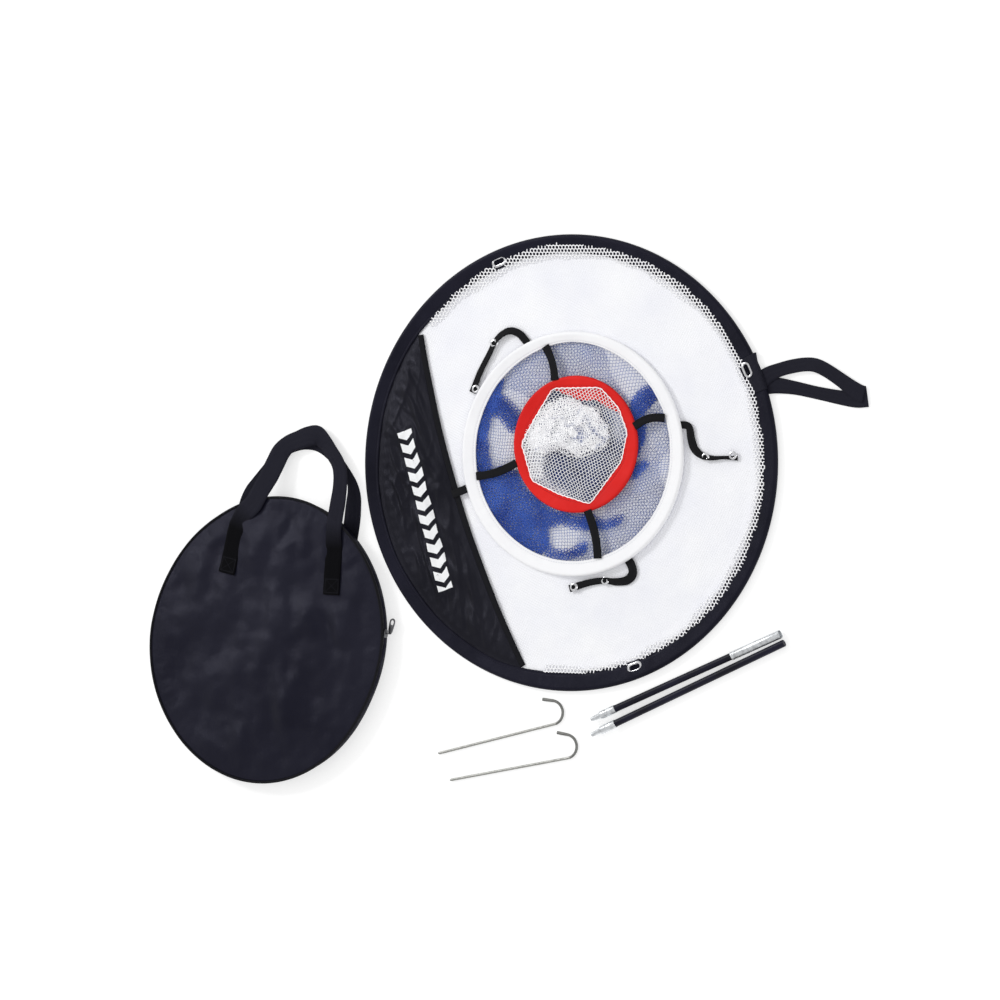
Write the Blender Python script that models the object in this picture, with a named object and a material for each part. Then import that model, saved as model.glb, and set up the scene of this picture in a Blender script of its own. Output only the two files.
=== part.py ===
"""Golf chipping net kit, laid out flat: spring hoop net, two hung target rings, carry bag, poles, stakes.

All dimensions are in millimetres and become metres in add_mesh. The origin is on the floor at the
centre of the big hoop; +Y points at the carry handle and -Y at the front panel. Every piece rests
on, or lies in the stack above, the plane z = 0.
"""

from math import atan2, cos, hypot, pi, radians, sin

import bmesh
import bpy
from mathutils import Matrix, Vector

MM = 0.001
GAP = 0.3                    # clearance left between neighbouring solids
FLOOR_PIVOT = (0, 0, 0)

# Big hoop: a spring wire in a hairpin sleeve that opens inwards
HOOP_R = 250.0
HOOP_SLEEVE_W = 25.0
HOOP_WIRE_R = 2.0
HOOP_STEPS = 60
SLEEVE_T = 1.2
SLEEVE_Z = 1.0               # the sleeve stands on the eyelet washers
BULGE_STEPS = 5
WIRE_JOIN_DEG = 214.0
CRIMP_SHARE = 0.92           # how much of the gap in the wire its crimp fills

# Outer net: several folded layers of mesh, drawn as one thin disc
NET_T = 3.0
NET_FLAT_R = 218.0
NET_RIM_IN = 223.5
NET_RIM_OUT = 229.0
NET_RIM_Z = (2.6, 3.8)

# Front panel: a segment of nylon below a slightly sagging chord
PANEL_R = HOOP_R - HOOP_SLEEVE_W - 0.5
PANEL_Z = (4.3, 5.5)
CHORD_END_Y = -129.0
CHORD_SAG = 14.0
CHORD_STEPS = 12
BINDING_W = 6.0
BINDING_Z = (3.6, 5.8)

# Oval eyelets
EYELET_R = 236.8             # distance of each eyelet from the hoop's centre
EYELET_DEG = {"top": 95.8, "right": 1.0, "left": 181.6}
SLOT_HALF_L = 3.8            # straight half length between the slot's round ends
SLOT_END_R = 2.5
BARREL_T = 0.8
FLANGE_W = 3.0
EYELET_TOP = 6.9
WASHER_T = 0.7
OVAL_ARC_STEPS = 5

# Carry handle and its tab
TAB_X = (-21.0, 11.0)
TAB_Y = (250.5, 262.0)
HANDLE_Z = (1.0, 4.2)
HANDLE_PIVOT = (-5.0, 262.2, 4.4)

# Middle ring with the blue pocket, hung inside the hoop
MID_C = (-7.0, 9.0)
MID_R = 134.0
MID_SLEEVE_W = 15.0
MID_WIRE_R = 1.6
MID_Z = 3.4
MID_STEPS = 48
MID_PIVOT = (-13.0, -130.0, 6.6)
BLUE_NET_R = 125.5
BLUE_NET_Z = (4.7, 5.6)

# Inner ring with the white pocket, hung inside the middle ring
IN_C = (-15.3, 17.6)
IN_R = 75.0
IN_SLEEVE_W = 13.0
IN_WIRE_R = 1.3
IN_Z = 6.3
IN_STEPS = 40
INNER_NET_R = 67.0
INNER_NET_Z = (7.5, 8.1)
INNER_STRAP_DEG = {"right": -7, "top": 85.7, "left": 180, "bottom": 267}

# Webbing straps
STRAP_W = 9.0
STRAP_T = 1.2
STRAP_Z = 4.2
SNAP_R = 4.6
SNAP_HOLE_R = 2.3
SNAP_Z = (5.1, 7.0)
SNAP_STEPS = 14

# Carry bag: an oval whose own axes run from its centre to the handles (a) and across them (b)
BAG_C = (64.0, -410.0)
BAG_DEG = 150.0
BAG_R = 160.0                # half length towards the handles
BAG_HALF_W = 143.0
BAG_WALL = 2.0
BAG_STEPS = 56
BACK_Z = (1.9, 3.1)
LOWER_WALL_Z = (3.4, 8.2)
ZIP_LOWER_Z = (8.5, 9.7)
ZIP_UPPER_Z = (10.5, 11.7)
UPPER_WALL_Z = (12.0, 16.8)
FRONT_Z = (17.1, 18.6)
PIPING_R = 1.4
LEG_T = 1.6
WEBBING_W = 23.0
ZIP_SPAN_DEG = (66.0, 234.0)
ZIP_ARC_C = (16.9, 2.4)      # centre, in the bag's axes, of the circle nearest to the zip's run
ZIP_ARC_R = 142.1
ZIP_ARC_MISS = 1.1           # how far the oval strays from that circle
SLIDER_DEG = 66.2
PULL_OUT = 5.5               # from the slider's inner face to the pull's root
PULL_LEAN_DEG = 80.0         # how far the pull leans along the zip from pointing straight out
PULL_T = 1.4
PULL_TOP = 9.4
LID_PIVOT_Z = 10.1

# Poles and stakes
ROD_R = 3.9
TIP_SLEEVE_R = 4.5
TIP_SLEEVE_L = 20.0
TIP_NOSE_L = 11.5
ROD_IN_TIP = 14.0            # how far the rod goes into its end fitting
TIP_NOSE_R = (3.1, 2.4)
SOCKET_R = 4.8
SOCKET_L = 62.0
SOCKET_OPEN_L = 30.0
ROUND_STEPS = 16
STAKE_WIRE_R = 1.6
STAKE_SHANK = 147.0
STAKE_HOOK_R = 13.0
STAKE_HOOK_DEG = 160.0
STAKE_END = 13.0


def material(name, colour, roughness, metallic=0.0):
    mat = bpy.data.materials.new(name)
    mat.use_nodes = True
    shader = mat.node_tree.nodes["Principled BSDF"]
    shader.inputs["Base Color"].default_value = (*colour, 1.0)
    shader.inputs["Roughness"].default_value = roughness
    shader.inputs["Metallic"].default_value = metallic
    mat.diffuse_color = (*colour, 1.0)
    return mat


def add_mesh(name, verts, faces, mat, pivot=FLOOR_PIVOT):
    """One closed solid from millimetre points, with its origin on its joint's axis."""
    origin = Vector(pivot)
    mesh = bpy.data.meshes.new(name)
    mesh.from_pydata([(Vector(v) - origin) * MM for v in verts], [], faces)
    shell = bmesh.new()
    shell.from_mesh(mesh)
    bmesh.ops.recalc_face_normals(shell, faces=shell.faces)
    shell.to_mesh(mesh)
    shell.free()
    obj = bpy.data.objects.new(name, mesh)
    obj.location = origin * MM
    bpy.context.scene.collection.objects.link(obj)
    mesh.materials.append(mat)
    mesh.shade_smooth()
    mesh.set_sharp_from_angle(angle=radians(35))
    return obj


def revolve(profile, steps, centre=(0, 0), start=0.0, sweep=360.0, closed=True):
    """Turn (radius, height) points about a vertical axis; a point on the axis becomes one vertex."""
    full = sweep >= 360.0
    count = steps if full else steps + 1
    angles = [radians(start + sweep * i / steps) for i in range(count)]
    verts, rings = [], []
    for r, z in profile:
        if r == 0:
            rings.append([len(verts)] * count)
            verts.append((centre[0], centre[1], z))
        else:
            rings.append(list(range(len(verts), len(verts) + count)))
            verts += [(centre[0] + r * cos(a), centre[1] + r * sin(a), z) for a in angles]
    faces = []
    pairs = zip(rings, rings[1:] + rings[:1]) if closed else zip(rings, rings[1:])
    for low, high in pairs:
        for i in range(steps):
            j = (i + 1) % count
            quad = [low[i], low[j], high[j], high[i]]
            face = [v for n, v in enumerate(quad) if v != quad[n - 1]]
            if len(face) > 2:
                faces.append(face)
    if not full:
        faces += [[ring[0] for ring in rings], [ring[-1] for ring in rings]]
    return verts, faces


def prism(outline, low, high):
    """An extruded outline."""
    n = len(outline)
    verts = [(x, y, low) for x, y in outline] + [(x, y, high) for x, y in outline]
    sides = [[i, (i + 1) % n, (i + 1) % n + n, i + n] for i in range(n)]
    return verts, sides + [list(range(n)), list(range(n, 2 * n))]


def sweep_section(path, section_at):
    """Join the same number of section points at each path point, with flat ends."""
    verts, size = [], None
    for i, point in enumerate(path):
        back, ahead = path[max(i - 1, 0)], path[min(i + 1, len(path) - 1)]
        along = (Vector(ahead) - Vector(back)).normalized()
        ring = section_at(Vector(point), along)
        size = len(ring)
        verts += ring
    faces = []
    for i in range(len(path) - 1):
        for k in range(size):
            m = (k + 1) % size
            faces.append([i * size + k, i * size + m, (i + 1) * size + m, (i + 1) * size + k])
    last = (len(path) - 1) * size
    return verts, faces + [list(range(size)), list(range(last, last + size))]


def ribbon(path, width, thickness):
    """A flat strap whose face looks up, swept along a 3-D path."""
    def section(point, along):
        side = Vector((0, 0, 1)).cross(along).normalized() * width / 2
        normal = along.cross(side).normalized() * thickness / 2
        return [point + side + normal, point - side + normal, point - side - normal, point + side - normal]
    return sweep_section(path, section)


def rod(path, radius, sides):
    """A round wire swept along a path that lies flat."""
    def section(point, along):
        side = Vector((0, 0, 1)).cross(along).normalized()
        normal = along.cross(side)
        turns = [2 * pi * k / sides for k in range(sides)]
        return [point + radius * (side * cos(t) + normal * sin(t)) for t in turns]
    return sweep_section(path, section)


def smooth_path(points, per_span=3):
    """Points on a Catmull-Rom curve through the given ones."""
    pts = [Vector(p) for p in points]
    out = []
    for i in range(len(pts) - 1):
        before = pts[i - 1] if i else pts[0] * 2 - pts[1]
        after = pts[i + 2] if i + 2 < len(pts) else pts[-1] * 2 - pts[-2]
        for k in range(per_span):
            t = k / per_span
            a, b = pts[i], pts[i + 1]
            out.append(0.5 * (2 * a + (b - before) * t + (2 * before - 5 * a + 4 * b - after) * t ** 2
                              + (3 * a - before - 3 * b + after) * t ** 3))
    return out + [pts[-1]]


def polar(deg, radius, centre=(0, 0)):
    return centre[0] + radius * cos(radians(deg)), centre[1] + radius * sin(radians(deg))


def hairpin(outer_r, width, bottom, wire_r, wall):
    """Cross-section of a folded sleeve: flat flaps inwards, a round fold over the wire outside."""
    bulge = wire_r + GAP + wall
    centre_r, mid = outer_r - bulge, bottom + bulge
    inner_r = outer_r - width
    flap_top = mid + 0.9 * wall - GAP
    flap_under = flap_top - wall
    out_end = pi - atan2(flap_top - mid, bulge)
    in_end = pi - atan2(flap_under - mid, wire_r + GAP)
    outer = [-pi / 2 + (out_end + pi / 2) * k / (BULGE_STEPS + 1) for k in range(BULGE_STEPS + 2)]
    inner = [-pi / 2 + (in_end + pi / 2) * k / BULGE_STEPS for k in range(BULGE_STEPS + 1)]
    profile = [(inner_r, bottom)]
    profile += [(centre_r + bulge * cos(t), mid + bulge * sin(t)) for t in outer]
    profile += [(inner_r, flap_top), (inner_r, flap_under)]
    profile += [(centre_r + (wire_r + GAP) * cos(t), mid + (wire_r + GAP) * sin(t)) for t in reversed(inner)]
    profile += [(inner_r, bottom + wall)]
    return profile


def ring_wire(name, outer_r, bottom, wire_r, wall, steps, centre, mat, pivot):
    """The spring wire: a ring that is cut at its crimped join."""
    bulge = wire_r + GAP + wall
    circle = [2 * pi * k / 6 for k in range(6)]
    profile = [(outer_r - bulge + wire_r * cos(t), bottom + bulge + wire_r * sin(t)) for t in circle]
    open_deg = 360.0 / steps
    start = round(WIRE_JOIN_DEG / open_deg) * open_deg
    verts, faces = revolve(profile, steps - 1, centre, start, 360.0 - open_deg)
    add_mesh(name + "_wire", verts, faces, mat, pivot)
    verts, faces = revolve(profile, 1, centre, start - open_deg * 0.96, open_deg * CRIMP_SHARE)
    add_mesh(name + "_wire_crimp", verts, faces, mat, pivot)


def stadium(centre, deg, offset):
    """An oval outline round an eyelet, its long axis along the hoop."""
    reach = SLOT_END_R + offset
    points = []
    for side in (1, -1):
        for k in range(OVAL_ARC_STEPS + 1):
            turn = pi * k / OVAL_ARC_STEPS - pi / 2
            x = side * (SLOT_HALF_L + reach * cos(turn))
            y = side * reach * sin(turn)
            points.append((x, y))
    tangent = radians(deg + 90)
    return [(centre[0] + x * cos(tangent) - y * sin(tangent),
             centre[1] + x * sin(tangent) + y * cos(tangent)) for x, y in points]


def oval_ring(name, deg, profile, mat):
    """A closed oval ring whose section is (offset from the slot's edge, height) points."""
    loops = [stadium(polar(deg, EYELET_R), deg, offset) for offset, _ in profile]
    size = len(loops[0])
    verts = [(x, y, z) for loop, (_, z) in zip(loops, profile) for x, y in loop]
    faces = []
    for i in range(len(profile)):
        j = (i + 1) % len(profile)
        faces += [[i * size + k, i * size + (k + 1) % size, j * size + (k + 1) % size, j * size + k]
                  for k in range(size)]
    add_mesh(name, verts, faces, mat)


def make_hoop(nylon, steel):
    profile = hairpin(HOOP_R, HOOP_SLEEVE_W, SLEEVE_Z, HOOP_WIRE_R, SLEEVE_T)
    sleeve = add_mesh("hoop_sleeve", *revolve(profile, HOOP_STEPS), nylon)
    for side, deg in EYELET_DEG.items():
        outline = stadium(polar(deg, EYELET_R), deg, BARREL_T + GAP)
        cutter = add_mesh("slot_cutter_" + side, *prism(outline, -1.0, 12.0), nylon)
        cutter.hide_render = True
        cutter.display_type = "WIRE"
        cut = sleeve.modifiers.new("slot_" + side, "BOOLEAN")
        cut.operation = "DIFFERENCE"
        cut.solver = "EXACT"
        cut.object = cutter
    ring_wire("hoop", HOOP_R, SLEEVE_Z, HOOP_WIRE_R, SLEEVE_T, HOOP_STEPS, (0, 0), steel, FLOOR_PIVOT)


def make_eyelets(steel):
    flange_z = SLEEVE_Z + HOOP_WIRE_R + GAP + SLEEVE_T + 0.9 * SLEEVE_T
    barrel = [(0, WASHER_T), (BARREL_T, WASHER_T), (BARREL_T, flange_z), (FLANGE_W, flange_z)]
    bead = [(FLANGE_W, flange_z + 0.6), (FLANGE_W - 0.9, EYELET_TOP), (0.5, EYELET_TOP),
            (0, EYELET_TOP - 0.6)]
    inner = BARREL_T + GAP
    washer = [(inner, 0), (FLANGE_W, 0), (FLANGE_W, WASHER_T), (inner, WASHER_T)]
    for side, deg in EYELET_DEG.items():
        oval_ring("eyelet_" + side, deg, barrel + bead, steel)
        oval_ring("eyelet_washer_" + side, deg, washer, steel)


def make_outer_net(mesh_white):
    low, high = NET_RIM_Z
    profile = [(0, 0), (NET_FLAT_R, 0), (NET_RIM_IN, low), (NET_RIM_OUT, low),
               (NET_RIM_OUT, high), (NET_RIM_IN, high), (NET_FLAT_R, NET_T), (0, NET_T)]
    add_mesh("outer_net", *revolve(profile, HOOP_STEPS, closed=False), mesh_white)


def chord(offset, radius):
    """The panel's straight edge, sagging towards the rim, moved up by offset and cut at a radius."""
    end_y = CHORD_END_Y + offset
    half = (radius ** 2 - end_y ** 2) ** 0.5
    xs = [half * (2 * k / CHORD_STEPS - 1) for k in range(CHORD_STEPS + 1)]
    return [(x, end_y - CHORD_SAG * (1 - (x / half) ** 2)) for x in xs]


def make_panel(nylon, binding):
    edge = chord(0, PANEL_R)
    start, end = atan2(edge[-1][1], edge[-1][0]), atan2(edge[0][1], edge[0][0])
    steps = 16
    turns = [start + (end - start) * k / steps for k in range(1, steps)]
    arc = [(PANEL_R * cos(t), PANEL_R * sin(t)) for t in turns]
    add_mesh("front_panel", *prism(edge + arc, *PANEL_Z), nylon)
    low, high = chord(GAP, NET_FLAT_R - 1), chord(GAP + BINDING_W, NET_FLAT_R - 1)
    add_mesh("panel_binding", *prism(low + high[::-1], *BINDING_Z), binding)


def make_carry_handle(webbing):
    tab = [(TAB_X[0], TAB_Y[0]), (TAB_X[1], TAB_Y[0]), (TAB_X[1], TAB_Y[1]), (TAB_X[0], TAB_Y[1])]
    add_mesh("handle_tab", *prism(tab, HANDLE_Z[0], HANDLE_Z[1]), webbing)
    outer = [(-20, 262.4), (10, 262.4), (54, 335), (60, 352), (42, 362), (-8, 322), (-15, 307)]
    hole = [(-4, 276), (5, 279), (33, 329), (1, 309)]
    rim = bmesh.new()
    for loop in (outer, hole):
        corners = [rim.verts.new((x, y, HANDLE_Z[0])) for x, y in loop]
        for a, b in zip(corners, corners[1:] + corners[:1]):
            rim.edges.new((a, b))
    bmesh.ops.triangle_fill(rim, use_beauty=True, edges=rim.edges[:])
    walls = bmesh.ops.extrude_face_region(rim, geom=rim.faces[:])["geom"]
    lifted = [v for v in walls if isinstance(v, bmesh.types.BMVert)]
    bmesh.ops.translate(rim, verts=lifted, vec=(0, 0, HANDLE_Z[1] - HANDLE_Z[0]))
    rim.verts.index_update()
    verts = [v.co[:] for v in rim.verts]
    faces = [[v.index for v in f.verts] for f in rim.faces]
    rim.free()
    add_mesh("carry_handle", verts, faces, webbing, HANDLE_PIVOT)


def net_disc(name, radius, heights, centre, steps, mat, pivot):
    low, high = heights
    profile = [(0, low), (radius, low), (radius, high), (0, high)]
    add_mesh(name, *revolve(profile, steps, centre, closed=False), mat, pivot)


def make_middle_ring(sleeve_white, steel, net_blue, webbing):
    profile = hairpin(MID_R, MID_SLEEVE_W, MID_Z, MID_WIRE_R, 1.0)
    add_mesh("middle_ring_sleeve", *revolve(profile, MID_STEPS, MID_C), sleeve_white, MID_PIVOT)
    ring_wire("middle_ring", MID_R, MID_Z, MID_WIRE_R, 1.0, MID_STEPS, MID_C, steel, MID_PIVOT)
    net_disc("blue_net", BLUE_NET_R, BLUE_NET_Z, MID_C, MID_STEPS, net_blue, MID_PIVOT)
    foot = [(-13, CHORD_END_Y - 15, 6.7), (-13, MID_C[1] - MID_R - GAP - 0.3, 6.7)]
    add_mesh("middle_ring_bottom_strap", *ribbon(foot, STRAP_W, STRAP_T), webbing)


def make_inner_ring(sleeve_red, steel, net_white, webbing):
    pivot = (*IN_C, IN_Z)
    profile = hairpin(IN_R, IN_SLEEVE_W, IN_Z, IN_WIRE_R, 0.9)
    add_mesh("inner_ring_sleeve", *revolve(profile, IN_STEPS, IN_C), sleeve_red, pivot)
    ring_wire("inner_ring", IN_R, IN_Z, IN_WIRE_R, 0.9, IN_STEPS, IN_C, steel, pivot)
    net_disc("inner_net", INNER_NET_R, INNER_NET_Z, IN_C, IN_STEPS, net_white, pivot)
    reach = MID_R - MID_SLEEVE_W - 1.2
    offset = Vector(IN_C) - Vector(MID_C)
    for side, deg in INNER_STRAP_DEG.items():
        ray = Vector((cos(radians(deg)), sin(radians(deg))))
        slant = offset.dot(ray)
        span = (slant ** 2 + reach ** 2 - offset.length_squared) ** 0.5 - slant
        path = [(*polar(deg, span, IN_C), 6.9), (*polar(deg, IN_R + 0.7, IN_C), 9.1)]
        add_mesh("inner_strap_" + side, *ribbon(path, STRAP_W, 1.0), webbing, path[0])


LOOSE_STRAPS = {
    "left": ((-142.5, -4.5), (-154, -10), (-160.5, -21), (-157, -37), (-145, -51), (-129, -69),
             (-111.5, -85)),
    "top": ((10.5, 149.5), (24, 148.5), (36, 149), (46, 155), (52, 165), (56, 178), (62, 193)),
    "right": ((131.5, 36), (140, 34.5), (144.5, 26), (142, 13), (136.5, 1), (133, -13), (131.5, -28),
              (131, -43)),
}


def make_loose_straps(webbing, steel):
    """Three straps that lie free on the net, each with a ring snap half way and one at its end."""
    for side, spots in LOOSE_STRAPS.items():
        path = smooth_path([(x, y, STRAP_Z) for x, y in spots])
        heading = (path[-1] - path[0]).normalized()
        pivot = path[0] - heading * 5 - Vector((0, 0, STRAP_T / 2))
        add_mesh("loose_strap_" + side, *ribbon(path, STRAP_W, STRAP_T), webbing, pivot)
        for place, point in (("mid", path[len(path) // 2 + 1]), ("end", path[-1] - heading * 6)):
            low, high = SNAP_Z
            edge = 0.5
            ring = [(SNAP_HOLE_R, low), (SNAP_R, low), (SNAP_R, high - edge),
                    (SNAP_R - edge, high), (SNAP_HOLE_R, high)]
            turned = revolve(ring, SNAP_STEPS, (point.x, point.y))
            add_mesh(f"ring_snap_{side}_{place}", *turned, steel, pivot)


def bag_point(a, b):
    """From the bag's own axes to the kit's."""
    t = radians(BAG_DEG)
    return BAG_C[0] + a * cos(t) - b * sin(t), BAG_C[1] + a * sin(t) + b * cos(t)


def oval(solid):
    """Squash a round bag solid across the handles' direction."""
    verts, faces = solid
    t = radians(BAG_DEG)
    across = Vector((-sin(t), cos(t), 0))
    centre = Vector((*BAG_C, 0))
    squash = BAG_HALF_W / BAG_R - 1
    return [Vector(v) + across * (Vector(v) - centre).dot(across) * squash for v in verts], faces


def make_bag_shell(nylon, tape):
    base = (*BAG_C, 0)
    lid = (*bag_point(-BAG_R, 0), LID_PIVOT_Z)

    def wall(name, heights, pivot, mat, span=(0.0, 360.0), depth=BAG_WALL):
        low, high = heights
        section = [(BAG_R - depth, low), (BAG_R, low), (BAG_R, high), (BAG_R - depth, high)]
        steps = round(BAG_STEPS * (span[1] - span[0]) / 360)
        add_mesh(name, *oval(revolve(section, steps, BAG_C, span[0], span[1] - span[0])), mat, pivot)

    def panel(name, heights, pivot):
        low, high = heights
        section = [(0, low), (BAG_R, low), (BAG_R, high), (0, high)]
        add_mesh(name, *oval(revolve(section, BAG_STEPS, BAG_C, closed=False)), nylon, pivot)

    panel("bag_back_panel", BACK_Z, base)
    wall("bag_lower_gusset", LOWER_WALL_Z, base, nylon)
    wall("bag_zip_lower_tape", ZIP_LOWER_Z, base, tape, ZIP_SPAN_DEG)
    wall("bag_zip_upper_tape", ZIP_UPPER_Z, lid, tape, ZIP_SPAN_DEG)
    wall("bag_upper_gusset", UPPER_WALL_Z, lid, nylon)
    panel("bag_front_panel", FRONT_Z, lid)
    circle = [2 * pi * k / 6 for k in range(6)]
    bead_z = FRONT_Z[0] + PIPING_R - 1.2
    bead_r = BAG_R + PIPING_R + GAP
    bead = [(bead_r + PIPING_R * cos(t), bead_z + PIPING_R * sin(t)) for t in circle]
    add_mesh("bag_front_piping", *oval(revolve(bead, BAG_STEPS, BAG_C)), tape, lid)


def make_zip_slider(metal):
    """The slider straddles the zip from outside; its pull tab hangs from it."""
    centre = bag_point(*ZIP_ARC_C)
    reach = ZIP_ARC_R + ZIP_ARC_MISS + 0.5
    low = (LOWER_WALL_Z[0] + LOWER_WALL_Z[1]) / 2
    high = (UPPER_WALL_Z[0] + 2 * UPPER_WALL_Z[1]) / 3 - 1.2
    body = [(reach, low), (reach + 2.1, low + 0.8), (reach + 2.7, (low + high) / 2),
            (reach + 2.1, high - 0.8), (reach, high)]
    half = 2.4
    add_mesh("zip_slider", *revolve(body, 4, centre, SLIDER_DEG - half, 2 * half), metal, (*centre, 0))
    t = radians(SLIDER_DEG)
    root = Vector((*centre, PULL_TOP)) + Vector((cos(t), sin(t), 0)) * (reach + PULL_OUT)
    t += radians(PULL_LEAN_DEG)
    run, side = Vector((cos(t), sin(t), 0)), Vector((-sin(t), cos(t), 0))
    outline = [(0, -2.0), (3, -3.4), (15, -3.4), (18, 0), (15, 3.4), (3, 3.4), (0, 2.0)]
    flat = [root + run * a + side * b for a, b in outline]
    count = len(flat)
    verts = flat + [p - Vector((0, 0, PULL_T)) for p in flat]
    sides = [[i, (i + 1) % count, (i + 1) % count + count, i + count] for i in range(count)]
    faces = sides + [list(range(count)), list(range(count, 2 * count))]
    add_mesh("zip_pull", verts, faces, metal, root)


# The free arches' middle lines in the bag's axes: a, b and, on the lid, the height.
FRONT_HANDLE = (
    (128, 54.8, 19.9), (137, 49.5, 19.9), (148, 42.8, 19.9), (161.5, 38, 19.7), (177, 33, 16.0),
    (193, 29.6, 12.0), (206, 26.5, 9.0), (217, 18.5, 7.2), (226, 4, 6.0), (231, -12, 5.8), (224, -28, 6.6),
    (210, -44.5, 9.6), (196, -53.5, 13.2), (182, -57.6, 16.6), (166, -59.8, 19.7), (152, -60.4, 19.9),
    (139, -61, 19.9), (126, -62, 19.9))
BACK_HANDLE = (
    (162.5, 59.8), (168, 57.5), (176, 52), (187, 44.5), (200, 35.5), (213, 22), (222, 6), (223.5, -14),
    (214, -34), (201, -51), (189, -61.5), (176, -67.5), (162.5, -70.6))
FRONT_LEGS = {"left": ((58, 62.5), (121, 58)), "right": ((58, -72.5), (121, -63))}
BACK_LEGS = {"left": ((70, 62), (157, 61)), "right": ((70, -76), (157, -71))}
FRONT_HINGE_A = 123.0
BACK_HINGE_A = 160.0


def make_bag_handles(webbing):
    """Two webbing loops. Each has two ends sewn to its panel and a free arch."""
    lid = (*bag_point(-BAG_R, 0), LID_PIVOT_Z)
    leg_z = FRONT_Z[1] + GAP + LEG_T / 2
    for side, ends in FRONT_LEGS.items():
        path = [(*bag_point(*end), leg_z) for end in ends]
        add_mesh("bag_front_handle_sewn_" + side, *ribbon(path, WEBBING_W, LEG_T), webbing, lid)
    path = smooth_path([(*bag_point(a, b), z) for a, b, z in FRONT_HANDLE], 2)
    pivot = (*bag_point(FRONT_HINGE_A, 0), leg_z)
    add_mesh("bag_front_handle", *ribbon(path, WEBBING_W - 1, LEG_T), webbing, pivot)
    for side, ends in BACK_LEGS.items():
        path = [(*bag_point(*end), LEG_T / 2) for end in ends]
        add_mesh("bag_back_handle_sewn_" + side, *ribbon(path, WEBBING_W, LEG_T), webbing, (*BAG_C, 0))
    path = smooth_path([(*bag_point(a, b), LEG_T / 2) for a, b in BACK_HANDLE], 2)
    pivot = (*bag_point(BACK_HINGE_A, 0), 0)
    add_mesh("bag_back_handle", *ribbon(path, WEBBING_W - 1, LEG_T), webbing, pivot)


def lay_along(verts, start, end, height):
    """Lay a solid that was turned about Z down on the line from start to end."""
    run = Vector((end[0] - start[0], end[1] - start[1], 0))
    turn = run.to_track_quat("Z", "Y").to_matrix()
    return [turn @ Vector(v) + Vector((*start, height)) for v in verts]


def make_pole(name, start, end, height, rod_mat, alloy, socket):
    length = hypot(end[0] - start[0], end[1] - start[1])
    nose, tip = TIP_NOSE_L, TIP_NOSE_L + TIP_SLEEVE_L
    rod_end = length - SOCKET_OPEN_L if socket else length
    rod_start = tip - ROD_IN_TIP

    def turned(part, profile, mat, closed):
        verts, faces = revolve(profile, ROUND_STEPS, closed=closed)
        add_mesh(part, lay_along(verts, start, end, height), faces, mat, (*start, height))

    rod_profile = [(0, rod_start), (ROD_R, rod_start), (ROD_R, rod_end), (0, rod_end)]
    turned(name + "_rod", rod_profile, rod_mat, False)
    big, small = TIP_NOSE_R
    bore = ROD_R + GAP
    ferrule = [(0, 0), (small, 0), (big, nose), (TIP_SLEEVE_R, nose + 1), (TIP_SLEEVE_R, tip), (bore, tip),
               (bore, rod_start - GAP), (0, rod_start - GAP)]
    turned(name + "_tip", ferrule, alloy, False)
    if socket:
        low = length - SOCKET_L
        sleeve = [(bore, low), (SOCKET_R, low), (SOCKET_R, length), (bore, length)]
        turned(name + "_socket", sleeve, alloy, True)


def make_stake(name, start, deg, mat):
    """A wire peg: a long shank, a wide open hook and a short straight end."""
    lift = STAKE_WIRE_R
    heading = radians(deg)
    path = [Vector((*start, lift))]
    for _ in range(2):
        path.append(path[-1] + Vector((cos(heading), sin(heading), 0)) * STAKE_SHANK / 2)
    steps = 10
    turn = radians(STAKE_HOOK_DEG) / steps
    for _ in range(steps):
        heading += turn / 2
        path.append(path[-1] + Vector((cos(heading), sin(heading), 0)) * 2 * STAKE_HOOK_R * sin(turn / 2))
        heading += turn / 2
    path.append(path[-1] + Vector((cos(heading), sin(heading), 0)) * STAKE_END)
    add_mesh(name, *rod(path, STAKE_WIRE_R, 8), mat, (*start, 0))


def main():
    for obj in list(bpy.data.objects):
        bpy.data.objects.remove(obj, do_unlink=True)
    bpy.context.scene.unit_settings.system = "METRIC"
    nylon = material("black_nylon", (0.012, 0.012, 0.020), 0.55)
    tape = material("black_tape", (0.006, 0.006, 0.008), 0.7)
    webbing = material("black_webbing", (0.008, 0.008, 0.010), 0.75)
    white = material("white_fabric", (0.84, 0.85, 0.88), 0.8)
    white_net = material("white_mesh", (0.88, 0.89, 0.92), 0.7)
    blue_net = material("blue_mesh", (0.03, 0.10, 0.50), 0.6)
    red = material("red_fabric", (0.75, 0.035, 0.02), 0.6)
    spring = material("spring_steel", (0.45, 0.45, 0.47), 0.35, 1.0)
    nickel = material("nickel_plate", (0.75, 0.75, 0.77), 0.25, 1.0)
    alloy = material("aluminium", (0.78, 0.79, 0.80), 0.35, 1.0)
    fibreglass = material("black_fibreglass", (0.012, 0.012, 0.016), 0.35)
    galvanised = material("galvanised_wire", (0.62, 0.62, 0.60), 0.4, 1.0)

    make_hoop(nylon, spring)
    make_eyelets(nickel)
    make_outer_net(white_net)
    make_panel(nylon, tape)
    make_carry_handle(webbing)
    make_middle_ring(white, spring, blue_net, webbing)
    make_inner_ring(red, spring, white_net, webbing)
    make_loose_straps(webbing, nickel)
    make_bag_shell(nylon, tape)
    make_zip_slider(nickel)
    make_bag_handles(webbing)
    make_pole("pole_a", (274.4, -64.3), (257.0, 179.0), SOCKET_R, fibreglass, alloy, True)
    make_pole("pole_b", (290.3, -69.6), (267.4, 180.1), TIP_SLEEVE_R, fibreglass, alloy, False)
    make_stake("stake_a", (251.7, -256.2), 84.8, galvanised)
    make_stake("stake_b", (284.0, -252.0), 81.7, galvanised)


main()
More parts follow.
